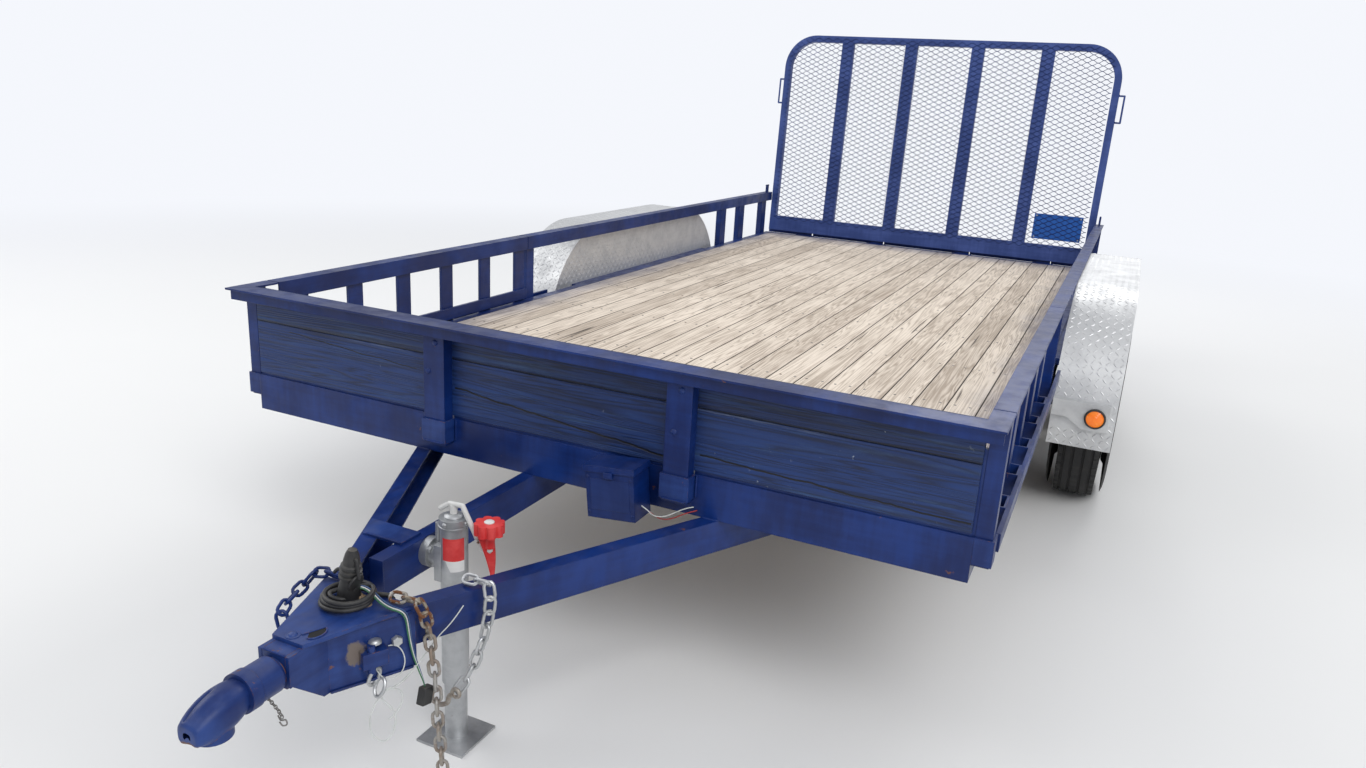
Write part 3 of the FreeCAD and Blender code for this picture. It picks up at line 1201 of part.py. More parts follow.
# Gate mesh: two layers of slanted strands that cross to make diamonds
mesh_long = size("mesh_long")
mesh_short = size("mesh_short")
strand = size("mesh_strand")
thick = size("mesh_thick")
layer_step = thick + size("mesh_layer")
mesh_low = low + bar - 20.0
inset = tube / 2
slope = mesh_short / mesh_long
run = 2 * half
strand_count = int((high - low + run * slope) / mesh_short) + 2
layers = []
for layer, hand in enumerate((1.0, -1.0)):
    place = -tube / 2 - thick - layer * layer_step
    bars = []
    for number in range(strand_count):
        start = mesh_low - run * slope + mesh_short * number
        rise = strand / 2 * math.sqrt(1 + slope * slope)
        ring = [
            FreeCAD.Vector(-hand * half, place, start - rise), FreeCAD.Vector(hand * half, place, start + run * slope - rise),
            FreeCAD.Vector(hand * half, place, start + run * slope + rise), FreeCAD.Vector(-hand * half, place, start + rise),
        ]
        bars.append(Part.Face(Part.makePolygon(ring + ring[:1])).extrude(FreeCAD.Vector(0, thick, 0)))
    panel = arch(half - inset, mesh_low, high - inset, corner - inset, place - 1.0, thick + 2.0)
    layers.append(Part.makeCompound(bars).common(panel))
gate_mesh = doc.addObject("Part::Feature", "gate_mesh")
gate_mesh.Shape = Part.makeCompound([solid for layer in layers for solid in layer.Solids])
gate_put(gate_mesh)

# Blank plate behind the mesh, low on the right
gate_plate = doc.addObject("Part::Feature", "gate_plate")
plate_wide = size("plate_wide")
gate_plate.Shape = Part.makeBox(plate_wide, size("plate_sheet"), size("plate_high"), FreeCAD.Vector(
    half - size("plate_inset") - plate_wide, -tube / 2, low + size("plate_lift"),
))
gate_put(gate_plate)

# Gate hinges: pins on the frame, knuckles on the gate
hinge_pins = []
knuckles = []
HINGES = (("-hinge_outer", -1, "hinge_outer"), ("-hinge_inner", -1, "hinge_inner"),
          ("hinge_inner", 1, "hinge_inner"), ("hinge_outer", 1, "hinge_outer"))
EAR_WIDTH = "8"
EAR_OFFSET = "(hinge_length / 2 + 7)"
for number, (place, hand, alias) in enumerate(HINGES, start=1):
    pieces = [rod(
        f"hinge_rod_{number}", f"{place} - {EAR_OFFSET} - {EAR_WIDTH}", HINGE_Y, HINGE_Z, "hinge_pin",
        f"2 * {EAR_OFFSET} + 2 * {EAR_WIDTH}", "x",
    )]
    for ear, x in (("a", f"{place} - {EAR_OFFSET} - {EAR_WIDTH}"), ("b", f"{place} + {EAR_OFFSET}")):
        pieces.append(box(f"hinge_ear_{number}_{ear}", x, "frame_rear", f"{HINGE_Z} - hinge_ear", EAR_WIDTH,
                          "hinge_gap", "2 * hinge_ear"))
        pieces.append(rod(f"hinge_ear_{number}_{ear}_end", x, HINGE_Y, HINGE_Z, "hinge_ear", EAR_WIDTH, "x"))
    hinge_pins.append(fuse(f"hinge_pin_{number}", pieces))
    middle = hand * size(alias)
    length = size("hinge_length")
    knuckle = Part.makeCylinder(size("hinge_knuckle"), length, FreeCAD.Vector(middle - length / 2, 0, 0), X_AXIS)
    plate = Part.makeBox(length, 12.0, low, FreeCAD.Vector(middle - length / 2, -6.0, 0.0))
    hole = Part.makeCylinder(
        size("hinge_pin") + size("hinge_play"), length + 10.0, FreeCAD.Vector(middle - length / 2 - 5.0, 0, 0), X_AXIS,
    )
    knuckles.append(knuckle.fuse(plate).cut(hole))
group("gate_hinge_pins", hinge_pins)
gate_knuckles = doc.addObject("Part::Feature", "gate_hinge_knuckles")
gate_knuckles.Shape = Part.makeCompound(knuckles)
gate_put(gate_knuckles)

# Wheels: each profile row is a radius and a place across, from the wheel's middle
radius = size("wheel_radius")
bead = size("rim_radius")
half_tyre = size("tyre_width") / 2
half_rim = size("rim_width") / 2
hub_bore = size("spindle_radius") + size("spindle_play")
TYRE = [
    (bead, -half_rim + 8), (bead + 12, -half_rim + 6), (bead + 12, -half_rim + 1), (bead + 76, -half_tyre),
    (radius - 16, -half_tyre + 14), (radius, -half_tyre + 44),
]
RIM = [
    (bead + 12, -half_rim), (bead + 12, -half_rim + 6), (bead, -half_rim + 8), (bead, -half_rim + 34),
    (bead - 16, -half_rim + 44), (bead - 16, half_rim - 44), (bead, half_rim - 34), (bead, half_rim - 8),
    (bead + 12, half_rim - 6), (bead + 12, half_rim), (bead - 4, half_rim), (bead - 4, half_rim - 32),
    (bead - 22, half_rim - 42), (bead - 22, 14), (bead - 70, 26), (bead - 110, 12), (hub_bore, 12),
    (hub_bore, 4), (bead - 110, 4), (bead - 70, 18), (bead - 26, 6), (bead - 22, -half_rim + 46),
    (bead - 4, -half_rim + 32), (bead - 4, -half_rim),
]
for side, sign in SIDES:
    hand = -1.0 if sign == "-" else 1.0
    for name, place in AXLES:
        for part, profile in (("tyre", TYRE + [(r, -x) for r, x in reversed(TYRE)]), ("rim", RIM)):
            ring = [FreeCAD.Vector(hand * x, 0, r) for r, x in profile]
            face = Part.Face(Part.makePolygon(ring + ring[:1]))
            item = doc.addObject("Part::Feature", f"wheel_{name}_{side}_{part}")
            item.Shape = face.revolve(FreeCAD.Vector(0, 0, 0), X_AXIS, 360.0)
            put(item, f"{sign}{WHEEL_X}", place, AXLE_Z)

doc.recompute()

# Sub-parts in the order in which they are written out
NODES = [
    "frame_side_beams", "frame_crossmembers", "deck_crossmembers", "deck_planks", "tongue_beams",
    "tongue_plates", "coupler_head", "coupler_collar", "jack_mount", "jack_tube", "jack_leg", "jack_crank",
    "jack_knob", "headboard_cap", "headboard_boards", "headboard_stakes", "stake_pockets", "side_rails",
    "rail_uprights", "rail_bottom_bars", "rail_posts", "latch_pins", "rub_rails", "fender_left",
    "fender_right", "fender_panels", "fender_bars", "marker_lamps", "tail_lamps", "lamp_bezels", "axles",
    "leaf_springs", "spring_hangers", "spring_equalisers", "battery_box", "breakaway_switch", "cable_coil",
    "trailer_plug", "safety_chain_left", "safety_chain_right", "safety_chain_spare", "gate_frame",
    "gate_mesh", "gate_plate", "gate_hinge_pins", "gate_hinge_knuckles",
    "wheel_front_left_tyre", "wheel_front_left_rim", "wheel_front_right_tyre", "wheel_front_right_rim",
    "wheel_rear_left_tyre", "wheel_rear_left_rim", "wheel_rear_right_tyre", "wheel_rear_right_rim",
]

for item in doc.Objects:
    if "Invalid" in item.State or "Error" in item.State:
        raise RuntimeError(f"{item.Label} did not compute")

for name in NODES:
    item = doc.getObject(name)
    if item is None or item.Shape.isNull() or not item.Shape.isValid():
        raise RuntimeError(f"{name} has no valid shape")
    item.Shape.exportStep(f"parts/{name}.step")
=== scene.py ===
"""Looks of the utility trailer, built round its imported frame.

Every finish is procedural and reads Object coordinates, every new piece is a surface worked out with
numpy in the frame's own metres, and each piece rides on the CAD body that carries it.
"""
import json
import logging
import math
from dataclasses import dataclass, field
from enum import Enum

import bmesh
import bpy
import numpy as np
from mathutils import Matrix, Vector


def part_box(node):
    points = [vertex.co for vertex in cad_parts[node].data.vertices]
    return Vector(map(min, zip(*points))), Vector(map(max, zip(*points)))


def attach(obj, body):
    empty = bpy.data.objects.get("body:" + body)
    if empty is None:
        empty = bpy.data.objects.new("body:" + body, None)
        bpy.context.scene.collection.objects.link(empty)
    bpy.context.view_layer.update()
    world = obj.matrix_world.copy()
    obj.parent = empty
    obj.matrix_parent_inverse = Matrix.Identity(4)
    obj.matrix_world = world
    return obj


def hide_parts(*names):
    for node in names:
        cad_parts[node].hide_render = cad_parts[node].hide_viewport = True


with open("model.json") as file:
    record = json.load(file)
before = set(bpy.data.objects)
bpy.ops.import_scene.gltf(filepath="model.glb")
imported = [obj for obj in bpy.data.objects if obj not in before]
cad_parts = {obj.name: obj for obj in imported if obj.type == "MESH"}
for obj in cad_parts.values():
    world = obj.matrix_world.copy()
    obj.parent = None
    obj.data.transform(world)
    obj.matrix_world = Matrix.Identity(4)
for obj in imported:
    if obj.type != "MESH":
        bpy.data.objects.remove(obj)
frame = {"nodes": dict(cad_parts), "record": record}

LOG = logging.getLogger("trailer")
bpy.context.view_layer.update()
Array = np.ndarray
Socket = bpy.types.NodeSocket
Object = bpy.types.Object
Triple = tuple[float, float, float]

GROUND = -0.41
DECK_BODY = "trailer"
GATE_BODY = "gate"
# Places of the axles along Y, and the axles' height
AXLES = (2.958, 3.796)
AXLE_HEIGHT = -0.065
HANDS = (-1.0, 1.0)


class Way(Enum):
    """Direction in which a board's grain runs."""

    ALONG_X = (0.035, 1.0, 1.0)
    ALONG_Y = (1.0, 0.035, 1.0)


class Side(Enum):
    """Hand of a piece: the sign of X on that side."""

    LEFT = -1.0
    RIGHT = 1.0

    @property
    def word(self) -> str:
        """Name of the side in the nodes' names."""
        return self.name.lower()


# Surfaces worked out as whole arrays


@dataclass
class Surface:
    """Points with the quads and triangles between them."""

    points: Array
    quads: Array = field(default_factory=lambda: np.zeros((0, 4), int))
    tris: Array = field(default_factory=lambda: np.zeros((0, 3), int))

    def flipped(self) -> "Surface":
        """The same surface with its faces turned over."""
        return Surface(self.points, self.quads[:, ::-1], self.tris[:, ::-1])

    def mirrored(self, hand: float) -> "Surface":
        """The surface with X times hand, faces kept outwards.

        Args:
            hand: 1 keeps the side, -1 mirrors it.

        Returns:
            The surface on that side.
        """
        turned = Surface(self.points * np.array([hand, 1.0, 1.0]), self.quads, self.tris)
        return turned if hand > 0 else turned.flipped()

    def shifted(self, x: float = 0.0, y: float = 0.0, z: float = 0.0) -> "Surface":
        """The surface moved by a vector."""
        return Surface(self.points + np.array([x, y, z]), self.quads, self.tris)

    def turned(self, frames: Array, origins: Array) -> "Surface":
        """Copies of the surface: each point p becomes origin + frame p.

        Args:
            frames: Rotation matrices, count by 3 by 3, columns are the local axes.
            origins: Places of the copies, count by 3.

        Returns:
            All copies as one surface.
        """
        count, size = len(origins), len(self.points)
        points = origins[:, None, :] + np.einsum("cij,pj->cpi", frames, self.points)
        steps = (np.arange(count) * size)[:, None, None]
        return Surface(
            points.reshape(-1, 3),
            (self.quads[None] + steps).reshape(-1, 4),
            (self.tris[None] + steps).reshape(-1, 3),
        )


def beside(*values: Array | float) -> Array:
    """Set arrays side by side on a new last axis, each spread to the shape of all."""
    return np.stack(np.broadcast_arrays(*values), axis=-1)


def mm(*rows: tuple[float, ...] | float) -> Array:
    """Write numbers or rows in millimetres as an array in metres."""
    return np.array(rows, float) / 1000


def turned_about(axis: str, degrees: float) -> Array:
    """Make the frame that a turn about X or Y gives, as a stack of one."""
    cos, sin = math.cos(math.radians(degrees)), math.sin(math.radians(degrees))
    if axis == "X":
        return np.array([[[1.0, 0.0, 0.0], [0.0, cos, -sin], [0.0, sin, cos]]])
    return np.array([[[cos, 0.0, sin], [0.0, 1.0, 0.0], [-sin, 0.0, cos]]])


def new_object(name: str, data: bpy.types.ID) -> Object:
    """Make an object of some data and link it to the scene."""
    made = bpy.data.objects.new(name, data)
    bpy.context.scene.collection.objects.link(made)
    return made


def joined(*parts: Surface) -> Surface:
    """Put several surfaces into one.

    Args:
        parts: The surfaces.

    Returns:
        One surface that holds them all.
    """
    starts = np.cumsum([0] + [len(part.points) for part in parts])[:-1]
    return Surface(
        np.concatenate([part.points for part in parts]),
        np.concatenate([part.quads + start for part, start in zip(parts, starts)]),
        np.concatenate([part.tris + start for part, start in zip(parts, starts)]),
    )


def grid_quads(rows: int, columns: int, wrap_rows: bool = False, wrap_columns: bool = False) -> Array:
    """Number the quads of a grid of points, row by row.

    Args:
        rows: Points along the first way.
        columns: Points along the second way.
        wrap_rows: Whether the last row meets the first.
        wrap_columns: Whether the last column meets the first.

    Returns:
        An array of four point numbers per quad.
    """
    row = np.arange(rows if wrap_rows else rows - 1)[:, None]
    column = np.arange(columns if wrap_columns else columns - 1)[None, :]
    next_row, next_column = (row + 1) % rows, (column + 1) % columns
    corners = [
        row * columns + column, next_row * columns + column,
        next_row * columns + next_column, row * columns + next_column,
    ]
    return np.stack(corners, axis=-1).reshape(-1, 4)


def unit(vectors: Array) -> Array:
    """Scale each vector to length one."""
    return vectors / np.maximum(np.linalg.norm(vectors, axis=-1, keepdims=True), 1e-12)


def axes_along(direction: Array, up: Array) -> Array:
    """Make frames whose first axis runs along a direction.

    Args:
        direction: Directions, count by 3.
        up: A vector near the third axis, one or count by 3.

    Returns:
        Rotation matrices, count by 3 by 3, with the axes as columns.
    """
    first = unit(direction)
    second = unit(np.cross(np.broadcast_to(up, first.shape), first))
    return beside(first, second, np.cross(first, second))


def lathe(profile: Array | list[tuple[float, float]], segments: int = 24, facet: bool = False) -> Surface:
    """Turn a profile round the local Z axis: point = (r cos a, r sin a, z).

    Args:
        profile: Rows of radius and height, from the low centre over the outside to the top centre.
        segments: Steps round the axis.
        facet: Whether the corners are set on the flats' angles, as on a nut.

    Returns:
        The turned surface: its foot is closed with a disc, or with its head where the profile is a ring.
    """
    rows = np.array(profile, float)
    ring_shaped = rows[0, 0] > 0 and rows[-1, 0] > 0
    if rows[0, 0] > 0 and not ring_shaped:
        rows = np.concatenate([[[0.0, rows[0, 1]]], rows])
    angle = (np.arange(segments) + (0.5 if facet else 0.0)) * 2 * np.pi / segments
    points = beside(rows[:, :1] * np.cos(angle), rows[:, :1] * np.sin(angle), rows[:, 1:])
    quads = grid_quads(len(rows), segments, wrap_rows=ring_shaped, wrap_columns=True)[:, ::-1]
    return Surface(points.reshape(-1, 3), quads)


def tube(path: Array, radius: Array | float, sides: int = 8, closed: bool = False,
         up: Triple = (0.0, 0.0, 1.0), flat: float = 1.0) -> Surface:
    """Carry a circle along a path: point = path + r (n cos a + flat b sin a).

    Args:
        path: Points of the centre line, count by 3.
        radius: One radius, or one per point.
        sides: Points round the section.
        closed: Whether the path's end meets its start.
        up: Reference that the path never runs along.
        flat: Height of the section over its width.

    Returns:
        The tube, with flat ends where the path is open.
    """
    path = np.asarray(path, float)
    if closed:
        tangent = np.roll(path, -1, axis=0) - np.roll(path, 1, axis=0)
    else:
        tangent = np.gradient(path, axis=0)
    axes = axes_along(tangent, np.array(up, float))
    angle = np.arange(sides) * 2 * np.pi / sides
    reach = np.broadcast_to(np.asarray(radius, float), len(path))[:, None, None]
    side = axes[:, None, :, 1] * np.cos(angle)[None, :, None]
    rise = axes[:, None, :, 2] * np.sin(angle)[None, :, None] * flat
    points = (path[:, None, :] + reach * (side + rise)).reshape(-1, 3)
    quads = grid_quads(len(path), sides, wrap_rows=closed, wrap_columns=True)[:, ::-1]
    if closed:
        return Surface(points, quads)
    ends = np.stack([path[0], path[-1]])
    last, count = len(points) - sides, len(points)
    around = np.arange(sides)
    after = (around + 1) % sides
    tris = np.concatenate([
        beside(np.full(sides, count), after, around),
        beside(np.full(sides, count + 1), last + around, last + after),
    ])
    return Surface(np.concatenate([points, ends]), quads, tris[:, ::-1])


def block(low: Triple, high: Triple) -> Surface:
    """Make the six faces of a straight block between two corners."""
    corner = np.array([low, high], float)
    index = np.array([[i >> 2 & 1, i >> 1 & 1, i & 1] for i in range(8)])
    points = corner[index, np.arange(3)]
    quads = np.array([
        [0, 1, 3, 2], [4, 6, 7, 5], [0, 4, 5, 1], [2, 3, 7, 6], [0, 2, 6, 4], [1, 5, 7, 3],
    ])
    return Surface(points, quads)


def smooth_path(corners: Array, step: float) -> Array:
    """Round a route: a Catmull-Rom curve through its corners at an even step.

    Args:
        corners: Points of the route in metres, count by 3.
        step: Distance between the points that come back.

    Returns:
        Points along the curve.
    """
    knots = np.concatenate([2 * corners[:1] - corners[1:2], corners, 2 * corners[-1:] - corners[-2:-1]])
    part = np.linspace(0, 1, 24, endpoint=False)[None, :, None]
    a, b, c, d = (knots[i:len(knots) - 3 + i, None, :] for i in range(4))
    curve = 0.5 * (2 * b + (c - a) * part + (2 * a - 5 * b + 4 * c - d) * part**2
                   + (3 * b - a - 3 * c + d) * part**3)
    dense = np.concatenate([curve.reshape(-1, 3), knots[-2:-1]])
    length = np.concatenate([[0.0], np.cumsum(np.linalg.norm(np.diff(dense, axis=0), axis=1))])
    count = max(2, int(round(length[-1] / step)) + 1)
    marks = np.linspace(0, length[-1], count)
    return np.stack([np.interp(marks, length, dense[:, i]) for i in range(3)], axis=-1)


def make_piece(name: str, surface: Surface, slot: str, body: str = DECK_BODY, replaces: tuple[str, ...] = (),
               smooth_angle: float = 40.0, bevel: float = 0.0, finish: str = "") -> Object:
    """Make an object from a surface, give it its finish and let it ride.

    Args:
        name: Name of the piece.
        surface: Its points and faces, in the frame's metres.
        slot: Material slot of the record that it takes its finish from.
        body: CAD body that it rides on.
        replaces: CAD nodes that it stands for.
        smooth_angle: Largest angle in degrees that is shaded smooth.
        bevel: Width of a bevel in metres, 0 for none.
        finish: Name of the finish where it isn't the slot's own.

    Returns:
        The object.
    """
    mesh = bpy.data.meshes.new(name)
    mesh.from_pydata(surface.points.tolist(), [], surface.quads.tolist() + surface.tris.tolist())
    closed = bmesh.new()
    closed.from_mesh(mesh)
    bmesh.ops.remove_doubles(closed, verts=closed.verts, dist=1e-6)
    closed.to_mesh(mesh)
    closed.free()
    mesh.update()
    mesh.polygons.foreach_set("use_smooth", np.ones(len(mesh.polygons), bool))
    mesh.set_sharp_from_angle(angle=math.radians(smooth_angle))
    piece = new_object(name, mesh)
    if bevel:
        modifier = piece.modifiers.new("rounded edges", "BEVEL")
        modifier.width, modifier.segments, modifier.limit_method = bevel, 2, "ANGLE"
    piece.data.materials.append(FINISHES[finish or slot])
    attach(piece, body)
    if replaces:
        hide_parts(*replaces)
    LOG.info("%s: %d points, %d faces", name, len(mesh.vertices), len(mesh.polygons))
    return piece


# Finishes


class Graph:
    """A node tree that is being filled, with short calls for the usual nodes."""

    def __init__(self, tree: bpy.types.NodeTree) -> None:
        """Keep the tree.

        Args:
            tree: Node tree of a material or a group.
        """
        self.tree = tree

    def node(self, kind: str, sockets: dict | None = None, **settings: object) -> bpy.types.Node:
        """Add a node, set its settings and feed its sockets.

        Args:
            kind: Type name of the node without the word Shader in front.
            sockets: Socket name or number to a value or to another node's socket.
            settings: Properties of the node.

        Returns:
            The node.
        """
        made = self.tree.nodes.new("ShaderNode" + kind)
        for name, value in settings.items():
            setattr(made, name, value)
        for name, value in (sockets or {}).items():
            if isinstance(value, Socket):
                self.tree.links.new(value, made.inputs[name])
            else:
                made.inputs[name].default_value = value
        return made

    def math(self, operation: str, a: Socket | float, b: Socket | float = 0.0,
             clamp: bool = False) -> Socket:
        """Work out one sum of two values."""
        return self.node("Math", {0: a, 1: b}, operation=operation, use_clamp=clamp).outputs[0]

    def times(self, a: Socket | float, b: Socket | float, clamp: bool = False) -> Socket:
        """Multiply two values."""
        return self.math("MULTIPLY", a, b, clamp)

    def plus(self, a: Socket | float, b: Socket | float) -> Socket:
        """Add two values."""
        return self.math("ADD", a, b)

    def minus(self, a: Socket | float, b: Socket | float) -> Socket:
        """Take the second value from the first."""
        return self.math("SUBTRACT", a, b)

    def most(self, a: Socket | float, b: Socket | float) -> Socket:
        """Keep the larger of two values."""
        return self.math("MAXIMUM", a, b)

    def vector(self, operation: str, a: Socket | Triple,
               b: Socket | Triple = (0.0, 0.0, 0.0)) -> bpy.types.Node:
        """Work out one sum of two vectors."""
        return self.node("VectorMath", {0: a, 1: b}, operation=operation)

    def noise(self, vector: Socket, scale: float, detail: float = 4.0, rough: float = 0.55,
              distortion: float = 0.0) -> Socket:
        """Read a noise value at a vector."""
        return self.node("TexNoise", {
            "Vector": vector, "Scale": scale, "Detail": detail, "Roughness": rough, "Distortion": distortion,
        }).outputs["Fac"]

    def ramp(self, value: Socket, low: float, high: float, to_low: float = 0.0,
             to_high: float = 1.0) -> Socket:
        """Map a value from one range to another with soft ends."""
        return self.node("MapRange", {
            "Value": value, "From Min": low, "From Max": high, "To Min": to_low, "To Max": to_high,
        }, interpolation_type="SMOOTHSTEP").outputs["Result"]

    def mix(self, share: Socket | float, a: Socket | tuple, b: Socket | tuple) -> Socket:
        """Mix two colours."""
        made = self.node("Mix", data_type="RGBA")
        for number, value in ((0, share), (6, a), (7, b)):
            if isinstance(value, Socket):
                self.tree.links.new(value, made.inputs[number])
            else:
                made.inputs[number].default_value = value if number == 0 else (*value, 1.0)
        return made.outputs[2]

    def scaled(self, vector: Socket, scale: Triple) -> Socket:
        """Stretch a vector by a mapping."""
        return self.node("Mapping", {"Vector": vector, "Scale": scale}).outputs[0]

    def apart(self, vector: Socket) -> tuple[Socket, Socket, Socket]:
        """Split a vector into its three values."""
        made = self.node("SeparateXYZ", {0: vector})
        return made.outputs[0], made.outputs[1], made.outputs[2]

    def bump(self, height: Socket, strength: float, distance: float, normal: Socket | None = None) -> Socket:
        """Turn a height into a normal."""
        sockets = {"Height": height, "Strength": strength, "Distance": distance}
        if normal is not None:
            sockets["Normal"] = normal
        return self.node("Bump", sockets).outputs[0]

    def group(self, name: str, **sockets: object) -> bpy.types.Node:
        """Place a shared group and feed its inputs, with blanks in their names written as underscores."""
        made = self.tree.nodes.new("ShaderNodeGroup")
        made.node_tree = GROUPS[name]
        for key, value in sockets.items():
            key = key.replace("_", " ")
            if isinstance(value, Socket):
                self.tree.links.new(value, made.inputs[key])
            else:
                made.inputs[key].default_value = value
        return made


GROUPS: dict[str, bpy.types.NodeTree] = {}
FINISHES: dict[str, bpy.types.Material] = {}


def new_group(name: str, inputs: dict[str, float | None],
              outputs: dict[str, str]) -> tuple[Graph, dict, dict]:
    """Start a shared node group.

    Args:
        name: Name of the group.
        inputs: Input name to its first value: a number, or None for a vector.
        outputs: Output name to the word Float or Vector.

    Returns:
        The graph, its input sockets and its output node's sockets, by name.
    """
    tree = bpy.data.node_groups.new(name, "ShaderNodeTree")
    for key, value in inputs.items():
        kind = "NodeSocketVector" if value is None else "NodeSocketFloat"
        made = tree.interface.new_socket(key, in_out="INPUT", socket_type=kind)
        if value is not None:
            made.default_value = value
    for key, kind in outputs.items():
        tree.interface.new_socket(key, in_out="OUTPUT", socket_type="NodeSocket" + kind)
    GROUPS[name] = tree
    graph = Graph(tree)
    source, sink = tree.nodes.new("NodeGroupInput"), tree.nodes.new("NodeGroupOutput")
    return graph, {key: source.outputs[key] for key in inputs}, {key: sink.inputs[key] for key in outputs}


def build_groups() -> None:
    """Make the groups that more than one finish uses: patches, edges, dust, grain and brush marks."""
    graph, given, out = new_group("patches", {"Vector": None, "Scale": 20.0, "Amount": 0.3},
                                  {"Mask": "Float"})
    coarse = graph.noise(given["Vector"], 1.0, 6.0, 0.65)
    graph.tree.links.new(given["Scale"], coarse.node.inputs["Scale"])
    edge = graph.minus(0.72, graph.times(given["Amount"], 0.4))
    over = graph.minus(coarse, edge)
    graph.tree.links.new(graph.times(over, 22.0, clamp=True), out["Mask"])

    graph, given, out = new_group("worn edges", {"Vector": None, "Width": 0.003, "Amount": 0.5},
                                  {"Mask": "Float", "Normal": "Vector"})
    rounded = graph.node("Bevel", {"Radius": 0.002}, samples=4)
    graph.tree.links.new(given["Width"], rounded.inputs["Radius"])
    flat = graph.node("NewGeometry").outputs["Normal"]
    meet = graph.vector("DOT_PRODUCT", rounded.outputs[0], flat).outputs["Value"]
    bent = graph.times(graph.minus(0.995, meet), 9.0, clamp=True)
    torn = graph.noise(given["Vector"], 55.0, 5.0, 0.7)
    worn = graph.minus(graph.plus(torn, given["Amount"]), 1.0)
    worn = graph.times(graph.times(worn, 12.0, clamp=True), bent)
    graph.tree.links.new(worn, out["Mask"])
    graph.tree.links.new(rounded.outputs[0], out["Normal"])

    graph, given, out = new_group("settled dust", {"Vector": None, "Amount": 0.5}, {"Mask": "Float"})
    up = graph.apart(graph.node("NewGeometry").outputs["Normal"])[2]
    lies = graph.ramp(up, 0.55, 0.95)
    spots = graph.ramp(graph.noise(given["Vector"], 9.0, 7.0, 0.7), 0.42, 0.72)
    graph.tree.links.new(graph.times(graph.times(lies, spots), given["Amount"]), out["Mask"])

    graph, given, out = new_group("wood grain", {"Vector": None, "Board": 0.0},
                                  {"Grain": "Float", "Fibre": "Float", "Knots": "Float"})
    shift = graph.node("CombineXYZ", {0: given["Board"], 1: given["Board"], 2: given["Board"]}).outputs[0]
    shift = graph.vector("MULTIPLY", shift, (7.3, 3.9, 5.1)).outputs[0]
    place = graph.vector("ADD", given["Vector"], shift).outputs[0]
    rings = graph.noise(place, 22.0, 3.0, 0.5, 0.6)
    rings = graph.math("ABSOLUTE", graph.math("SINE", graph.times(rings, 44.0)))
    graph.tree.links.new(rings, out["Grain"])
    graph.tree.links.new(graph.noise(place, 190.0, 5.0, 0.7), out["Fibre"])
    knot = graph.node("TexVoronoi", {"Vector": place, "Scale": 4.2}).outputs["Distance"]
    graph.tree.links.new(graph.ramp(knot, 0.1, 0.03), out["Knots"])

    graph, given, out = new_group("brush marks", {"Vector": None}, {"Value": "Float"})
    wide = graph.noise(graph.scaled(given["Vector"], (3.0, 3.0, 60.0)), 1.0, 3.0, 0.6)
    long = graph.noise(graph.scaled(given["Vector"], (60.0, 6.0, 6.0)), 1.0, 3.0, 0.6)
    graph.tree.links.new(graph.times(graph.plus(wide, long), 0.5), out["Value"])


def start_material(name: str) -> tuple[Graph, bpy.types.Node, Socket]:
    """Start a material.

    Args:
        name: Name of the finish.

    Returns:
        Its graph, its Principled node and its Object coordinate.
    """
    material = bpy.data.materials.new(name)
    material.use_nodes = True
    graph = Graph(material.node_tree)
    shader = material.node_tree.nodes["Principled BSDF"]
    where = graph.node("TexCoord").outputs["Object"]
    FINISHES[name] = material
    return graph, shader, where


def feed(graph: Graph, shader: bpy.types.Node, **sockets: object) -> None:
    """Give the shader's sockets a value or a link, with blanks in their names written as underscores."""
    for key, value in sockets.items():
        socket = shader.inputs[key.replace("_", " ")]
        if isinstance(value, Socket):
            graph.tree.links.new(value, socket)
        else:
            socket.default_value = value


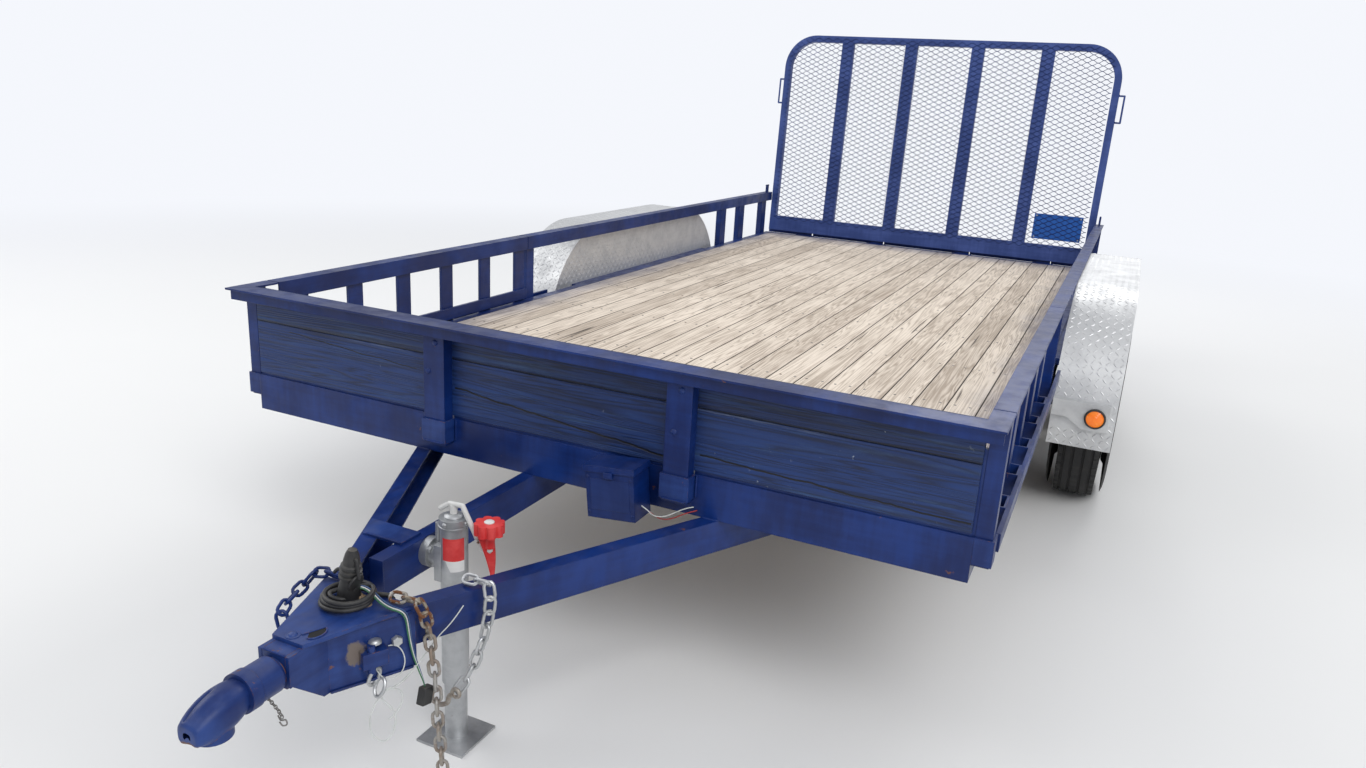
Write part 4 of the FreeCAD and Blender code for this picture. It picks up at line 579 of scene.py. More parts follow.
@dataclass(frozen=True)
class Paint:
    """Brushed or sprayed paint on steel: tone shifts, chips down to rust or bare metal, dust on top."""

    name: str
    base: Triple
    light: Triple
    chip: Triple = (0.11, 0.045, 0.02)
    dust: Triple = (0.16, 0.15, 0.14)
    chips: float = 0.1
    edge: float = 0.36
    dusty: float = 0.3
    rough: float = 0.38
    metal: float = 0.0
    # Middle of a bare patch and its half sizes, or nothing
    patch: tuple[Triple, Triple] | None = None
    patch_tone: Triple = (0.16, 0.13, 0.115)

    def bare_patch(self, graph: Graph, where: Socket) -> Socket:
        """Mask a worn patch: an ellipsoid about its middle with a torn rim.

        Args:
            graph: The material's graph.
            where: Object coordinate.

        Returns:
            The mask.
        """
        middle, halves = self.patch
        offset = graph.vector("SUBTRACT", where, middle).outputs[0]
        offset = graph.vector("DIVIDE", offset, halves).outputs[0]
        away = graph.vector("LENGTH", offset).outputs["Value"]
        torn = graph.times(graph.noise(where, 60.0, 6.0, 0.7), 1.3)
        return graph.ramp(graph.plus(away, torn), 1.55, 1.25)

    def build(self) -> None:
        """Make the material."""
        graph, shader, where = start_material(self.name)
        marks = graph.group("brush marks", Vector=where).outputs[0]
        cloud = graph.noise(where, 5.0, 5.0, 0.6)
        tone = graph.ramp(graph.plus(graph.times(cloud, 0.6), graph.times(marks, 0.4)), 0.4, 0.66)
        colour = graph.mix(tone, self.base, self.light)
        dust = graph.group("settled dust", Vector=where, Amount=self.dusty).outputs[0]
        colour = graph.mix(dust, colour, self.dust)
        edges = graph.group("worn edges", Vector=where, Width=0.0022, Amount=self.edge)
        chips = graph.group("patches", Vector=where, Scale=26.0, Amount=self.chips).outputs[0]
        bare = graph.most(chips, edges.outputs["Mask"])
        rust = graph.mix(graph.noise(where, 140.0, 3.0), self.chip, tuple(1.9 * part for part in self.chip))
        colour = graph.mix(bare, colour, rust)
        if self.patch:
            rubbed = self.bare_patch(graph, where)
            colour = graph.mix(rubbed, colour, self.patch_tone)
            bare = graph.most(bare, rubbed)
        gloss = graph.ramp(graph.noise(where, 18.0, 4.0), 0.35, 0.7, self.rough - 0.07, self.rough + 0.14)
        gloss = graph.most(gloss, graph.times(graph.most(bare, dust), 0.75))
        height = graph.minus(graph.times(marks, 0.35), graph.times(bare, 0.6))
        feed(graph, shader, Base_Color=colour, Roughness=gloss, Metallic=self.metal, Specular_IOR_Level=0.34,
             Coat_Weight=0.06, Coat_Roughness=0.2,
             Normal=graph.bump(height, 0.35, 0.0012, edges.outputs["Normal"]))


@dataclass(frozen=True)
class Boards:
    """Weathered timber with grain, knots and end cracks, bare or under worn paint."""

    name: str
    way: Way
    dark: Triple
    pale: Triple
    overspray: Triple
    node: str
    count: int
    paint: float
    rough: float = 0.8

    def build(self) -> None:
        """Make the material."""
        graph, shader, where = start_material(self.name)
        low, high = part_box(self.node)
        x, y, z = graph.apart(where)
        if self.way is Way.ALONG_Y:
            pitch = (high.x - low.x) / self.count
            board = graph.math("FLOOR", graph.math("DIVIDE", graph.minus(x, low.x), pitch))
        else:
            board = graph.math("GREATER_THAN", z, 0.307)
        wood = graph.group("wood grain", Vector=graph.scaled(where, self.way.value), Board=board)
        grain, fibre, knots = wood.outputs
        each = graph.node("TexWhiteNoise", {"W": board}, noise_dimensions="1D").outputs["Value"]
        tone = graph.plus(graph.times(grain, 0.34), graph.times(fibre, 0.55))
        tone = graph.plus(tone, graph.times(graph.minus(each, 0.5), 0.2))
        stain = graph.noise(where, 2.6, 6.0, 0.62)
        tone = graph.plus(tone, graph.times(graph.minus(stain, 0.5), 0.55))
        colour = graph.mix(graph.ramp(tone, 0.15, 0.8), self.dark, self.pale)
        colour = graph.mix(graph.times(knots, 0.7), colour, tuple(0.45 * part for part in self.dark))
        if self.way is Way.ALONG_Y:
            colour, crack = self.weathered(graph, where, colour, (x, y), (low.x, pitch))
        else:
            colour, crack = self.painted(graph, where, colour, (x, z))
        colour = graph.mix(crack, colour, tuple(0.18 * part for part in self.dark))
        height = graph.plus(graph.times(grain, 0.6), graph.times(fibre, 0.5))
        height = graph.minus(height, graph.times(crack, 3.0))
        edges = graph.group("worn edges", Vector=where, Width=0.003, Amount=0.2)
        gloss = graph.ramp(fibre, 0.3, 0.7, self.rough - 0.1, self.rough + 0.1)
        feed(graph, shader, Base_Color=colour, Roughness=gloss,
             Normal=graph.bump(height, 0.55, 0.0016, edges.outputs["Normal"]))

    def weathered(self, graph: Graph, where: Socket, colour: Socket, place: tuple[Socket, Socket],
                  boards: tuple[float, float]) -> tuple[Socket, Socket]:
        """Lay overspray along the deck's edges, specks on it, and cracks and joints between its boards.

        Args:
            graph: The material's graph.
            where: Object coordinate.
            colour: Colour of the wood.
            place: Place across and along.
            boards: Left edge of the first board and the boards' pitch.

        Returns:
            The colour and the mask of the cracks.
        """
        (x, y), (low, pitch) = place, boards
        edge = graph.ramp(graph.math("ABSOLUTE", x), 0.66, 0.97)
        ends = graph.most(graph.ramp(y, 4.55, 5.0), graph.ramp(y, 1.35, 0.99))
        near = graph.most(edge, ends)
        cloud = graph.noise(where, 4.0, 6.0, 0.7)
        near = graph.ramp(graph.plus(near, graph.times(graph.minus(cloud, 0.5), 1.1)), 0.35, 1.25)
        near = graph.times(near, self.paint)
        near = graph.most(near, graph.ramp(y, 1.034, 1.014, 0.0, 0.92))
        speck = graph.group("patches", Vector=where, Scale=60.0, Amount=0.12).outputs[0]
        colour = graph.mix(near, colour, self.overspray)
        colour = graph.mix(graph.times(speck, 0.35), colour, (0.1, 0.085, 0.07))
        crack = graph.ramp(graph.noise(graph.scaled(where, (70.0, 1.2, 70.0)), 1.0, 2.0), 0.3, 0.26)
        inside = graph.math("FRACT", graph.math("DIVIDE", graph.minus(x, low), pitch))
        rim = graph.math("ABSOLUTE", graph.minus(inside, 0.5))
        crack = graph.most(crack, graph.ramp(rim, 0.468, 0.49))
        return colour, crack

    def painted(self, graph: Graph, where: Socket, colour: Socket,
                place: tuple[Socket, Socket]) -> tuple[Socket, Socket]:
        """Wear and scuff the headboard's paint, and draw the splits and the joint of its boards.

        Args:
            graph: The material's graph.
            where: Object coordinate.
            colour: Colour of the painted wood.
            place: Place across and height.

        Returns:
            The colour and the mask of the cracks.
        """
        x, z = place
        worn = graph.noise(graph.scaled(where, (2.2, 4.0, 26.0)), 1.0, 8.0, 0.75)
        colour = graph.mix(graph.times(graph.ramp(worn, 0.5, 0.8), 0.55), colour, self.overspray)
        scuff = graph.group("patches", Vector=where, Scale=42.0, Amount=0.14).outputs[0]
        zone = graph.times(graph.ramp(graph.noise(where, 3.1, 2.0), 0.52, 0.66), 0.7)
        colour = graph.mix(graph.times(scuff, zone), colour, (0.42, 0.48, 0.55))
        crack = self.split(graph, x, z)
        rim = graph.times(graph.ramp(z, 0.2985, 0.3035), graph.ramp(z, 0.3063, 0.3055))
        foot = graph.times(graph.ramp(z, 0.3148, 0.308), 0.85)
        rim = graph.times(rim, graph.ramp(worn, 0.5, 0.72, 0.0, 0.6))
        colour = graph.mix(rim, colour, (0.2, 0.22, 0.26))
        crack = graph.most(crack, graph.times(foot, graph.ramp(z, 0.3065, 0.3072)))
        return colour, crack

    @staticmethod
    def split(graph: Graph, x: Socket, z: Socket) -> Socket:
        """Draw the long splits of the lower headboard board: bands about sloping lines.

        Args:
            graph: The material's graph.
            x: Place across.
            z: Height.

        Returns:
            A mask of the splits.
        """
        masks = []
        wave = graph.noise(graph.node("CombineXYZ", {0: x}).outputs[0], 9.0, 4.0)
        for x_low, z_low, x_high, z_high, half in (
            (-0.301, 0.233, 0.284, 0.178, 0.0016), (0.369, 0.199, 0.962, 0.177, 0.0014),
            (-0.85, 0.29, -0.42, 0.262, 0.0008),
        ):
            slope = (z_high - z_low) / (x_high - x_low)
            line = graph.plus(graph.times(graph.minus(x, x_low), slope), z_low)
            line = graph.plus(line, graph.times(graph.minus(wave, 0.5), 0.018))
            away = graph.math("ABSOLUTE", graph.minus(z, line))
            inside = graph.times(graph.math("GREATER_THAN", x, x_low), graph.math("LESS_THAN", x, x_high))
            masks.append(graph.times(graph.ramp(away, 2 * half, half), inside))
        return graph.most(graph.most(masks[0], masks[1]), masks[2])


@dataclass(frozen=True)
class BareMetal:
    """Bright, zinc or rusty metal with stains and fine scratches."""

    name: str
    base: Triple
    stain: Triple
    rust: Triple = (0.2, 0.075, 0.028)
    rusty: float = 0.0
    rough: float = 0.4
    metallic: float = 0.9
    scratch: float = 0.25
    # Height above which the rust lies, where it isn't everywhere
    rust_above: float | None = None

    def build(self) -> None:
        """Make the material."""
        graph, shader, where = start_material(self.name)
        cloud = graph.noise(where, 12.0, 7.0, 0.65)
        colour = graph.mix(graph.ramp(cloud, 0.38, 0.68), self.base, self.stain)
        scratches = graph.noise(graph.scaled(where, (40.0, 220.0, 220.0)), 1.0, 3.0)
        if self.rusty:
            eaten = graph.group("patches", Vector=where, Scale=38.0, Amount=self.rusty).outputs[0]
            if self.rust_above is not None:
                height = graph.apart(where)[2]
                share = graph.ramp(height, self.rust_above - 0.03, self.rust_above + 0.01, 0.3, 1.0)
                eaten = graph.times(eaten, share)
            deep = tuple(0.4 * part for part in self.rust)
            deep = graph.mix(graph.noise(where, 190.0, 3.0), self.rust, deep)
            colour = graph.mix(eaten, colour, deep)
            metallic = graph.times(graph.minus(1.0, eaten), self.metallic)
            gloss = graph.plus(self.rough, graph.times(eaten, 0.35))
        else:
            metallic = self.metallic
            gloss = graph.ramp(cloud, 0.35, 0.7, self.rough - 0.08, self.rough + 0.12)
        edges = graph.group("worn edges", Vector=where, Width=0.0012, Amount=0.0)
        feed(graph, shader, Base_Color=colour, Roughness=gloss, Metallic=metallic,
             Normal=graph.bump(scratches, self.scratch, 0.0004, edges.outputs["Normal"]))


@dataclass(frozen=True)
class Moulded:
    """Plastic, lens or rubber: an even colour with faint mottling, dust and a fine skin, and on the lenses a
    painted glow.
    """

    name: str
    base: Triple
    worn: Triple
    rough: float = 0.35
    dusty: float = 0.15
    # Emission strength: a painted glow that stands in for daylight through a lens; no lamp is lit
    glow: float = 0.0
    coat: float = 0.0
    skin: float = 0.1

    def build(self) -> None:
        """Make the material."""
        graph, shader, where = start_material(self.name)
        mottle = graph.noise(where, 24.0, 6.0, 0.6)
        colour = graph.mix(graph.ramp(mottle, 0.42, 0.72), self.base, self.worn)
        dust = graph.group("settled dust", Vector=where, Amount=self.dusty).outputs[0]
        colour = graph.mix(dust, colour, (0.2, 0.18, 0.15))
        fine = graph.noise(where, 420.0, 3.0)
        gloss = graph.ramp(mottle, 0.35, 0.7, self.rough - 0.05, self.rough + 0.12)
        feed(graph, shader, Base_Color=colour, Roughness=gloss, Normal=graph.bump(fine, self.skin, 0.0004))
        # Painted glow: emission in the part's own colour
        if self.glow:
            feed(graph, shader, Emission_Color=colour, Emission_Strength=self.glow)
        if self.coat:
            feed(graph, shader, Coat_Weight=self.coat)


FINISH_TABLE = (
    Paint("blue_paint", (0.0015, 0.0125, 0.088), (0.005, 0.031, 0.18), chips=0.06, edge=0.34, dusty=0.08),
    Paint("plate_blue", (0.01, 0.085, 0.36), (0.016, 0.12, 0.47), chips=0.04, edge=0.2, rough=0.42),
    Paint("white_metal", (0.62, 0.62, 0.6), (0.78, 0.78, 0.76), chips=0.08, edge=0.34, rough=0.35),
    Paint("rim_white", (0.62, 0.62, 0.6), (0.76, 0.76, 0.74), chips=0.06, edge=0.25, dusty=0.5, rough=0.3),
    Paint("black_steel", (0.01, 0.01, 0.011), (0.022, 0.021, 0.02),
          chips=0.22, edge=0.4, dusty=0.6, rough=0.5),
    Paint("worn_blue", (0.003, 0.0165, 0.105), (0.016, 0.05, 0.215),
          chips=0.16, edge=0.48, dusty=0.2, rough=0.42,
          patch=((0.055, 0.247, -0.001), (0.016, 0.026, 0.03))),
    Paint("head_blue", (0.003, 0.0165, 0.105), (0.016, 0.05, 0.215),
          chips=0.18, edge=0.55, dusty=0.15, rough=0.4,
          patch=((0.004, -0.045, -0.018), (0.03, 0.01, 0.01)), patch_tone=(0.15, 0.068, 0.034)),
    Paint("gate_blue", (0.004, 0.019, 0.115), (0.01, 0.038, 0.185),
          chips=0.03, edge=0.0, dusty=0.1, rough=0.4),
    # Paler blue of the gate's frame: painted sunlight on its front faces, which lean back into the sun
    Paint("painted_sunlit_blue", (0.024, 0.05, 0.19), (0.052, 0.09, 0.29),
          chips=0.03, edge=0.0, dusty=0.16, rough=0.42),
    Paint("faded_blue", (0.004, 0.019, 0.11), (0.012, 0.036, 0.17),
          chips=0.1, edge=0.2, dusty=0.1, rough=0.45),
    Paint("label_pale", (0.66, 0.66, 0.65), (0.78, 0.78, 0.77), chips=0.0, edge=0.0, dusty=0.0, rough=0.5),
    Boards("deck_wood", Way.ALONG_Y, (0.385, 0.31, 0.24), (0.8, 0.7, 0.585), (0.06, 0.085, 0.19),
           "deck_planks", 21, 0.62),
    Boards("blue_wood", Way.ALONG_X, (0.0016, 0.0085, 0.042), (0.006, 0.034, 0.158), (0.045, 0.115, 0.25),
           "headboard_boards", 1, 0.0, 0.5),
    BareMetal("zinc", (0.5, 0.51, 0.52), (0.36, 0.37, 0.38), rough=0.45, metallic=0.75, rusty=0.05),
    BareMetal("galvanised", (0.56, 0.57, 0.58), (0.42, 0.43, 0.43), rough=0.42, metallic=0.8, rusty=0.12),
    BareMetal("rusty_chain", (0.4, 0.39, 0.37), (0.3, 0.25, 0.19), rough=0.5, metallic=0.7, rusty=0.58,
              rust_above=0.035),
    BareMetal("tread_plate", (0.66, 0.665, 0.665), (0.56, 0.565, 0.57),
              rough=0.48, metallic=0.62, scratch=0.15),
    # Flat black for the slot under the flap: painted shade, not a surface colour
    Moulded("painted_slot_shade", (0.005, 0.005, 0.006), (0.01, 0.01, 0.012), rough=0.8, dusty=0.0),
    BareMetal("dark_chain", (0.22, 0.21, 0.2), (0.12, 0.11, 0.1), rough=0.5, metallic=0.7, rusty=0.35),
    Moulded("dried_dirt", (0.33, 0.235, 0.15), (0.16, 0.115, 0.075), rough=0.9, dusty=0.0, skin=0.8),
    Moulded("wire_pale", (0.62, 0.64, 0.62), (0.45, 0.47, 0.44), rough=0.45, dusty=0.2),
    Moulded("wire_blue", (0.03, 0.075, 0.2), (0.06, 0.11, 0.24), rough=0.45, dusty=0.2),
    Moulded("wire_green", (0.03, 0.14, 0.06), (0.05, 0.17, 0.08), rough=0.45, dusty=0.2),
    Moulded("wire_red", (0.4, 0.02, 0.02), (0.45, 0.04, 0.03), rough=0.45, dusty=0.2),
    Moulded("red_plastic", (0.62, 0.03, 0.03), (0.72, 0.075, 0.07), rough=0.4, dusty=0.1),
    # The lenses' emission is a painted glow of daylight through them
    Moulded("amber_lens", (0.95, 0.2, 0.012), (0.9, 0.25, 0.02), rough=0.18, dusty=0.0, glow=0.22, coat=0.4),
    Moulded("red_lens", (0.42, 0.006, 0.008), (0.5, 0.012, 0.012),
            rough=0.18, dusty=0.0, glow=0.05, coat=0.4),
    Moulded("black_rubber", (0.016, 0.016, 0.017), (0.045, 0.044, 0.042), rough=0.5, dusty=0.5, skin=0.2),
    Moulded("tyre", (0.016, 0.016, 0.0165), (0.032, 0.031, 0.03), rough=0.72, dusty=0.5, skin=0.35),
)


# Nodes whose finish differs from their slot's: more worn, and on the gate's frame a paler blue that paints
# the sunlight on its leaning front
NODE_FINISH = {
    "tongue_plates": "worn_blue", "coupler_collar": "worn_blue", "stake_pockets": "worn_blue",
    "breakaway_switch": "worn_blue", "gate_frame": "painted_sunlit_blue",
}


# Camera, light and floor


@dataclass(frozen=True)
class Studio:
    """The photo's camera, a pale floor and soft light."""

    place: Triple = (1.147, -0.864, 0.962)
    elevation: float = -16.703928
    azimuth: float = -24.188192
    right: Triple = (0.9035, 0.4247, 0.0573)
    focal_pixels: float = 963.0
    frame_pixels: float = 1366.0
    floor_colour: Triple = (0.8, 0.8, 0.79)

    def camera(self) -> None:
        """Set the photo's camera: forward from the two angles, the rest by cross products."""
        elevation, azimuth = math.radians(self.elevation), math.radians(self.azimuth)
        ahead = np.array([
            math.sin(azimuth) * math.cos(elevation), math.cos(azimuth) * math.cos(elevation),
            math.sin(elevation),
        ])
        right = np.array(self.right)
        right = unit(right - ahead * right.dot(ahead))
        above = np.cross(right, ahead)
        data = bpy.data.cameras.new("camera")
        data.sensor_width = 36.0
        data.lens = 36.0 * self.focal_pixels / self.frame_pixels
        data.clip_start, data.clip_end = 0.05, 200.0
        camera = new_object("camera", data)
        turn = Matrix(beside(right, above, -ahead).tolist())
        camera.matrix_world = Matrix.Translation(self.place) @ turn.to_4x4()
        bpy.context.scene.camera = camera

    def floor(self) -> None:
        """Lay a round pale floor at the ground's height."""
        angle = np.arange(64) * 2 * np.pi / 64
        radii = np.array([0.01, 3.0, 8.0, 40.0])
        points = beside(
            radii[:, None] * np.cos(angle), 2.5 + radii[:, None] * np.sin(angle), GROUND,
        ).reshape(-1, 3)
        mesh = bpy.data.meshes.new("floor")
        mesh.from_pydata(points.tolist(), [], grid_quads(4, 64, wrap_columns=True).tolist())
        floor = new_object("floor", mesh)
        graph, shader, where = start_material("floor")
        darker = tuple(0.97 * part for part in self.floor_colour)
        shade = graph.mix(graph.noise(where, 0.6, 3.0), self.floor_colour, darker)
        feed(graph, shader, Base_Color=shade, Roughness=0.9)
        out = graph.tree.nodes["Material Output"]
        away = graph.vector("DISTANCE", where, (0.0, 2.5, GROUND)).outputs["Value"]
        seen = graph.node("LightPath").outputs["Is Camera Ray"]
        far = graph.times(graph.ramp(away, 3.2, 9.0), seen)
        glow = graph.node("Emission", {"Color": (0.93, 0.95, 1.0, 1.0), "Strength": 0.98})
        both = graph.node("MixShader", {0: far, 1: shader.outputs[0], 2: glow.outputs[0]})
        graph.tree.links.new(both.outputs[0], out.inputs["Surface"])
        mesh.materials.append(FINISHES.pop("floor"))

    def lamp(self, name: str, place: Triple, size: float, power: float) -> None:
        """Hang one square area lamp that looks at the trailer's middle."""
        data = bpy.data.lights.new(name, "AREA")
        data.shape, data.size, data.energy = "SQUARE", size, power
        lamp = new_object(name, data)
        towards = Vector((0.0, 2.2, 0.1)) - Vector(place)
        lamp.matrix_world = Matrix.Translation(place) @ towards.to_track_quat("-Z", "Y").to_matrix().to_4x4()

    def light(self) -> None:
        """Light the scene: a pale sky and three wide lamps."""
        world = bpy.data.worlds.new("studio")
        world.use_nodes = True
        graph = Graph(world.node_tree)
        backdrop = world.node_tree.nodes["Background"]
        path = graph.node("LightPath")
        seen = graph.most(path.outputs["Is Camera Ray"], path.outputs["Is Transmission Ray"])
        backdrop.inputs["Color"].default_value = (0.93, 0.95, 1.0, 1.0)
        graph.tree.links.new(graph.plus(0.62, graph.times(seen, 0.36)), backdrop.inputs["Strength"])
        bpy.context.scene.world = world
        self.lamp("key", (5.5, -3.0, 6.5), 5.0, 420.0)
        self.lamp("fill", (-6.5, 0.5, 5.0), 6.0, 240.0)
        self.lamp("back", (1.0, 9.5, 6.0), 5.0, 260.0)

    def build(self) -> None:
        """Make the camera, the floor and the light."""
        bpy.context.scene.view_settings.view_transform = "Standard"
        self.camera()
        self.floor()
        self.light()


# Chains and small steel


# Contact points that the chains' routes run through, in metres, as in the source
PLATE_TOP = 0.06
LIE = 0.016 * math.sqrt(0.5)
LEFT_ROUTE = (
    (-0.066, 0.338, PLATE_TOP + LIE + 0.0007), (-0.118, 0.338, PLATE_TOP + LIE + 0.003),
    (-0.132, 0.326, 0.05),
    (-0.13, 0.298, 0.044), (-0.119, 0.264, 0.04), (-0.108, 0.234, 0.032), (-0.099, 0.236, 0.006),
    (-0.105, 0.266, -0.004), (-0.114, 0.3, -0.008),
)
RIGHT_ROUTE = (
    (0.062, 0.334, PLATE_TOP + LIE), (0.121, 0.338, PLATE_TOP + LIE + 0.004), (0.13, 0.346, 0.04),
    (0.124, 0.358, 0.0), (0.128, 0.366, -0.08), (0.13, 0.37, -0.18), (0.136, 0.38, -0.34),
)
SPARE_ROUTE = (
    (0.122, 0.466, 0.052 + LIE), (0.178, 0.464, 0.052 + LIE + 0.005), (0.188, 0.458, 0.034),
    (0.18, 0.45, -0.03), (0.168, 0.434, -0.088), (0.158, 0.412, -0.124), (0.15, 0.392, -0.14),
)


@dataclass(frozen=True)
class Chain:
    """A chain of round-wire links that follows the route of its solid."""

    node: str
    slot: str
    route: tuple[Triple, ...]
    pitch: float = 0.028
    width: float = 0.025
    wire: float = 0.0066

    def marks(self) -> Array:
        """Contact points along the straight runs of the route, a pitch apart each.

        Returns:
            Points, count by 3.
        """
        corners = np.array(self.route)
        found = [corners[0]]
        for near, far in zip(corners, corners[1:]):
            run = far - near
            length = float(np.linalg.norm(run))
            while True:
                offset = near - found[-1]
                ahead = float(offset @ run) / length
                gap = float(offset @ offset) - self.pitch**2
                reach = -ahead + math.sqrt(max(ahead**2 - gap, 0.0))
                if reach > length or reach <= 0.0:
                    break
                found.append(near + run * (reach / length))
        return np.array(found)

    def link(self) -> Surface:
        """One link: a round wire carried round two half circles and two straights."""
        across = (self.width - self.wire) / 2
        straight = self.pitch / 2 + self.wire / 2 - across
        turn = np.linspace(-np.pi / 2, np.pi / 2, 7)
        ahead = beside(straight + across * np.cos(turn), across * np.sin(turn), 0.0)
        behind = ahead * np.array([-1.0, -1.0, 1.0])
        return tube(np.concatenate([ahead, behind]), self.wire / 2, 8, closed=True)

    def build(self) -> Object:
        """Set a link between each pair of contact points, turned by turns to either side.

        Returns:
            The chain.
        """
        points = self.marks()
        runs = np.diff(points, axis=0)
        axes = axes_along(runs, np.array([0.0, 0.1, 1.0]))
        roll = np.radians(45.0 + 90.0 * (np.arange(len(runs)) % 2))
        cos, sin = np.cos(roll)[:, None], np.sin(roll)[:, None]
        second = axes[:, :, 1] * cos + axes[:, :, 2] * sin
        third = axes[:, :, 2] * cos - axes[:, :, 1] * sin
        frames = beside(axes[:, :, 0], second, third)
        surface = self.link().turned(frames, points[:-1] + runs / 2)
        return make_piece(self.node + "_links", surface, self.slot, replaces=(self.node,))


def dome(radius: float, height: float, segments: int = 10) -> Surface:
    """A domed head: radius falls with the cosine as height rises with the sine."""
    turn = np.linspace(0, np.pi / 2, 4)
    rows = [(radius * math.cos(a), height * math.sin(a)) for a in turn[:-1]]
    return lathe([(radius, -0.002), *rows, (0.0, height)], segments)


def hex_head(radius: float, height: float) -> Surface:
    """A six-sided head with a chamfered top."""
    rows = [(radius, -0.002), (radius, height * 0.8), (radius * 0.86, height), (0.0, height)]
    return lathe(rows, 6, facet=True)


def placed(form: Surface, places: Array, facing: Array) -> Surface:
    """Copy a form to places, its Z axis along facing.

    Args:
        form: The head.
        places: Where each stands, count by 3.
        facing: One direction or one per place.

    Returns:
        All heads as one surface.
    """
    places = np.asarray(places, float).reshape(-1, 3)
    facing = unit(np.broadcast_to(np.asarray(facing, float), places.shape))
    helper = np.where(np.abs(facing[:, 2:3]) > 0.9, np.array([[1.0, 0.0, 0.0]]), np.array([[0.0, 0.0, 1.0]]))
    first = unit(np.cross(helper, facing))
    return form.turned(beside(first, np.cross(facing, first), facing), places)


def weld(start: Triple, end: Triple, radius: float = 0.0032) -> Surface:
    """A weld bead: a tube between two points whose radius ripples with a rectified sine along it."""
    a, b = np.array(start, float), np.array(end, float)
    length = float(np.linalg.norm(b - a))
    count = max(6, int(length / 0.0022))
    part = np.linspace(0, 1, count)
    path = a + (b - a) * part[:, None]
    ripple = 0.86 + 0.14 * np.abs(np.sin(part * length / 0.0066 * np.pi))
    taper = np.minimum(1.0, np.minimum(part, 1 - part) * length / 0.004 + 0.35)
    up = (0.0, 0.0, 1.0) if abs(b[2] - a[2]) < 0.7 * length else (0.0, 1.0, 0.0)
    return tube(path, radius * ripple * taper, 6, up=up)


@dataclass(frozen=True)
class Lead:
    """A free cable or wire on one smooth line."""

    name: str
    slot: str
    diameter: float
    far_end: str
    lay: str
    stiffness: str = "limp"
    finish: str = ""

    def lay_out(self, route: Array, replaces: tuple[str, ...] = ()) -> Object:
        """Lay the lead along control points.

        Args:
            route: Control points in metres.
            replaces: CAD nodes that it stands for.

        Returns:
            The lead.
        """
        route = np.asarray(route, float)
        curve = bpy.data.curves.new(self.name, "CURVE")
        curve.dimensions = "3D"
        curve.bevel_depth = self.diameter / 2
        curve.bevel_resolution = 2
        curve.resolution_u = 5
        curve.use_fill_caps = True
        spline = curve.splines.new("NURBS")
        spline.points.add(len(route) - 1)
        spline.points.foreach_set("co", np.concatenate([route, np.ones((len(route), 1))], axis=1).ravel())
        spline.order_u = 3
        spline.use_endpoint_u = True
        lead = new_object(self.name, curve)
        curve.materials.append(FINISHES[self.finish or self.slot])
        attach(lead, DECK_BODY)
        if replaces:
            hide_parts(*replaces)
        LOG.info("%s: %d control points", self.name, len(route))
        return lead


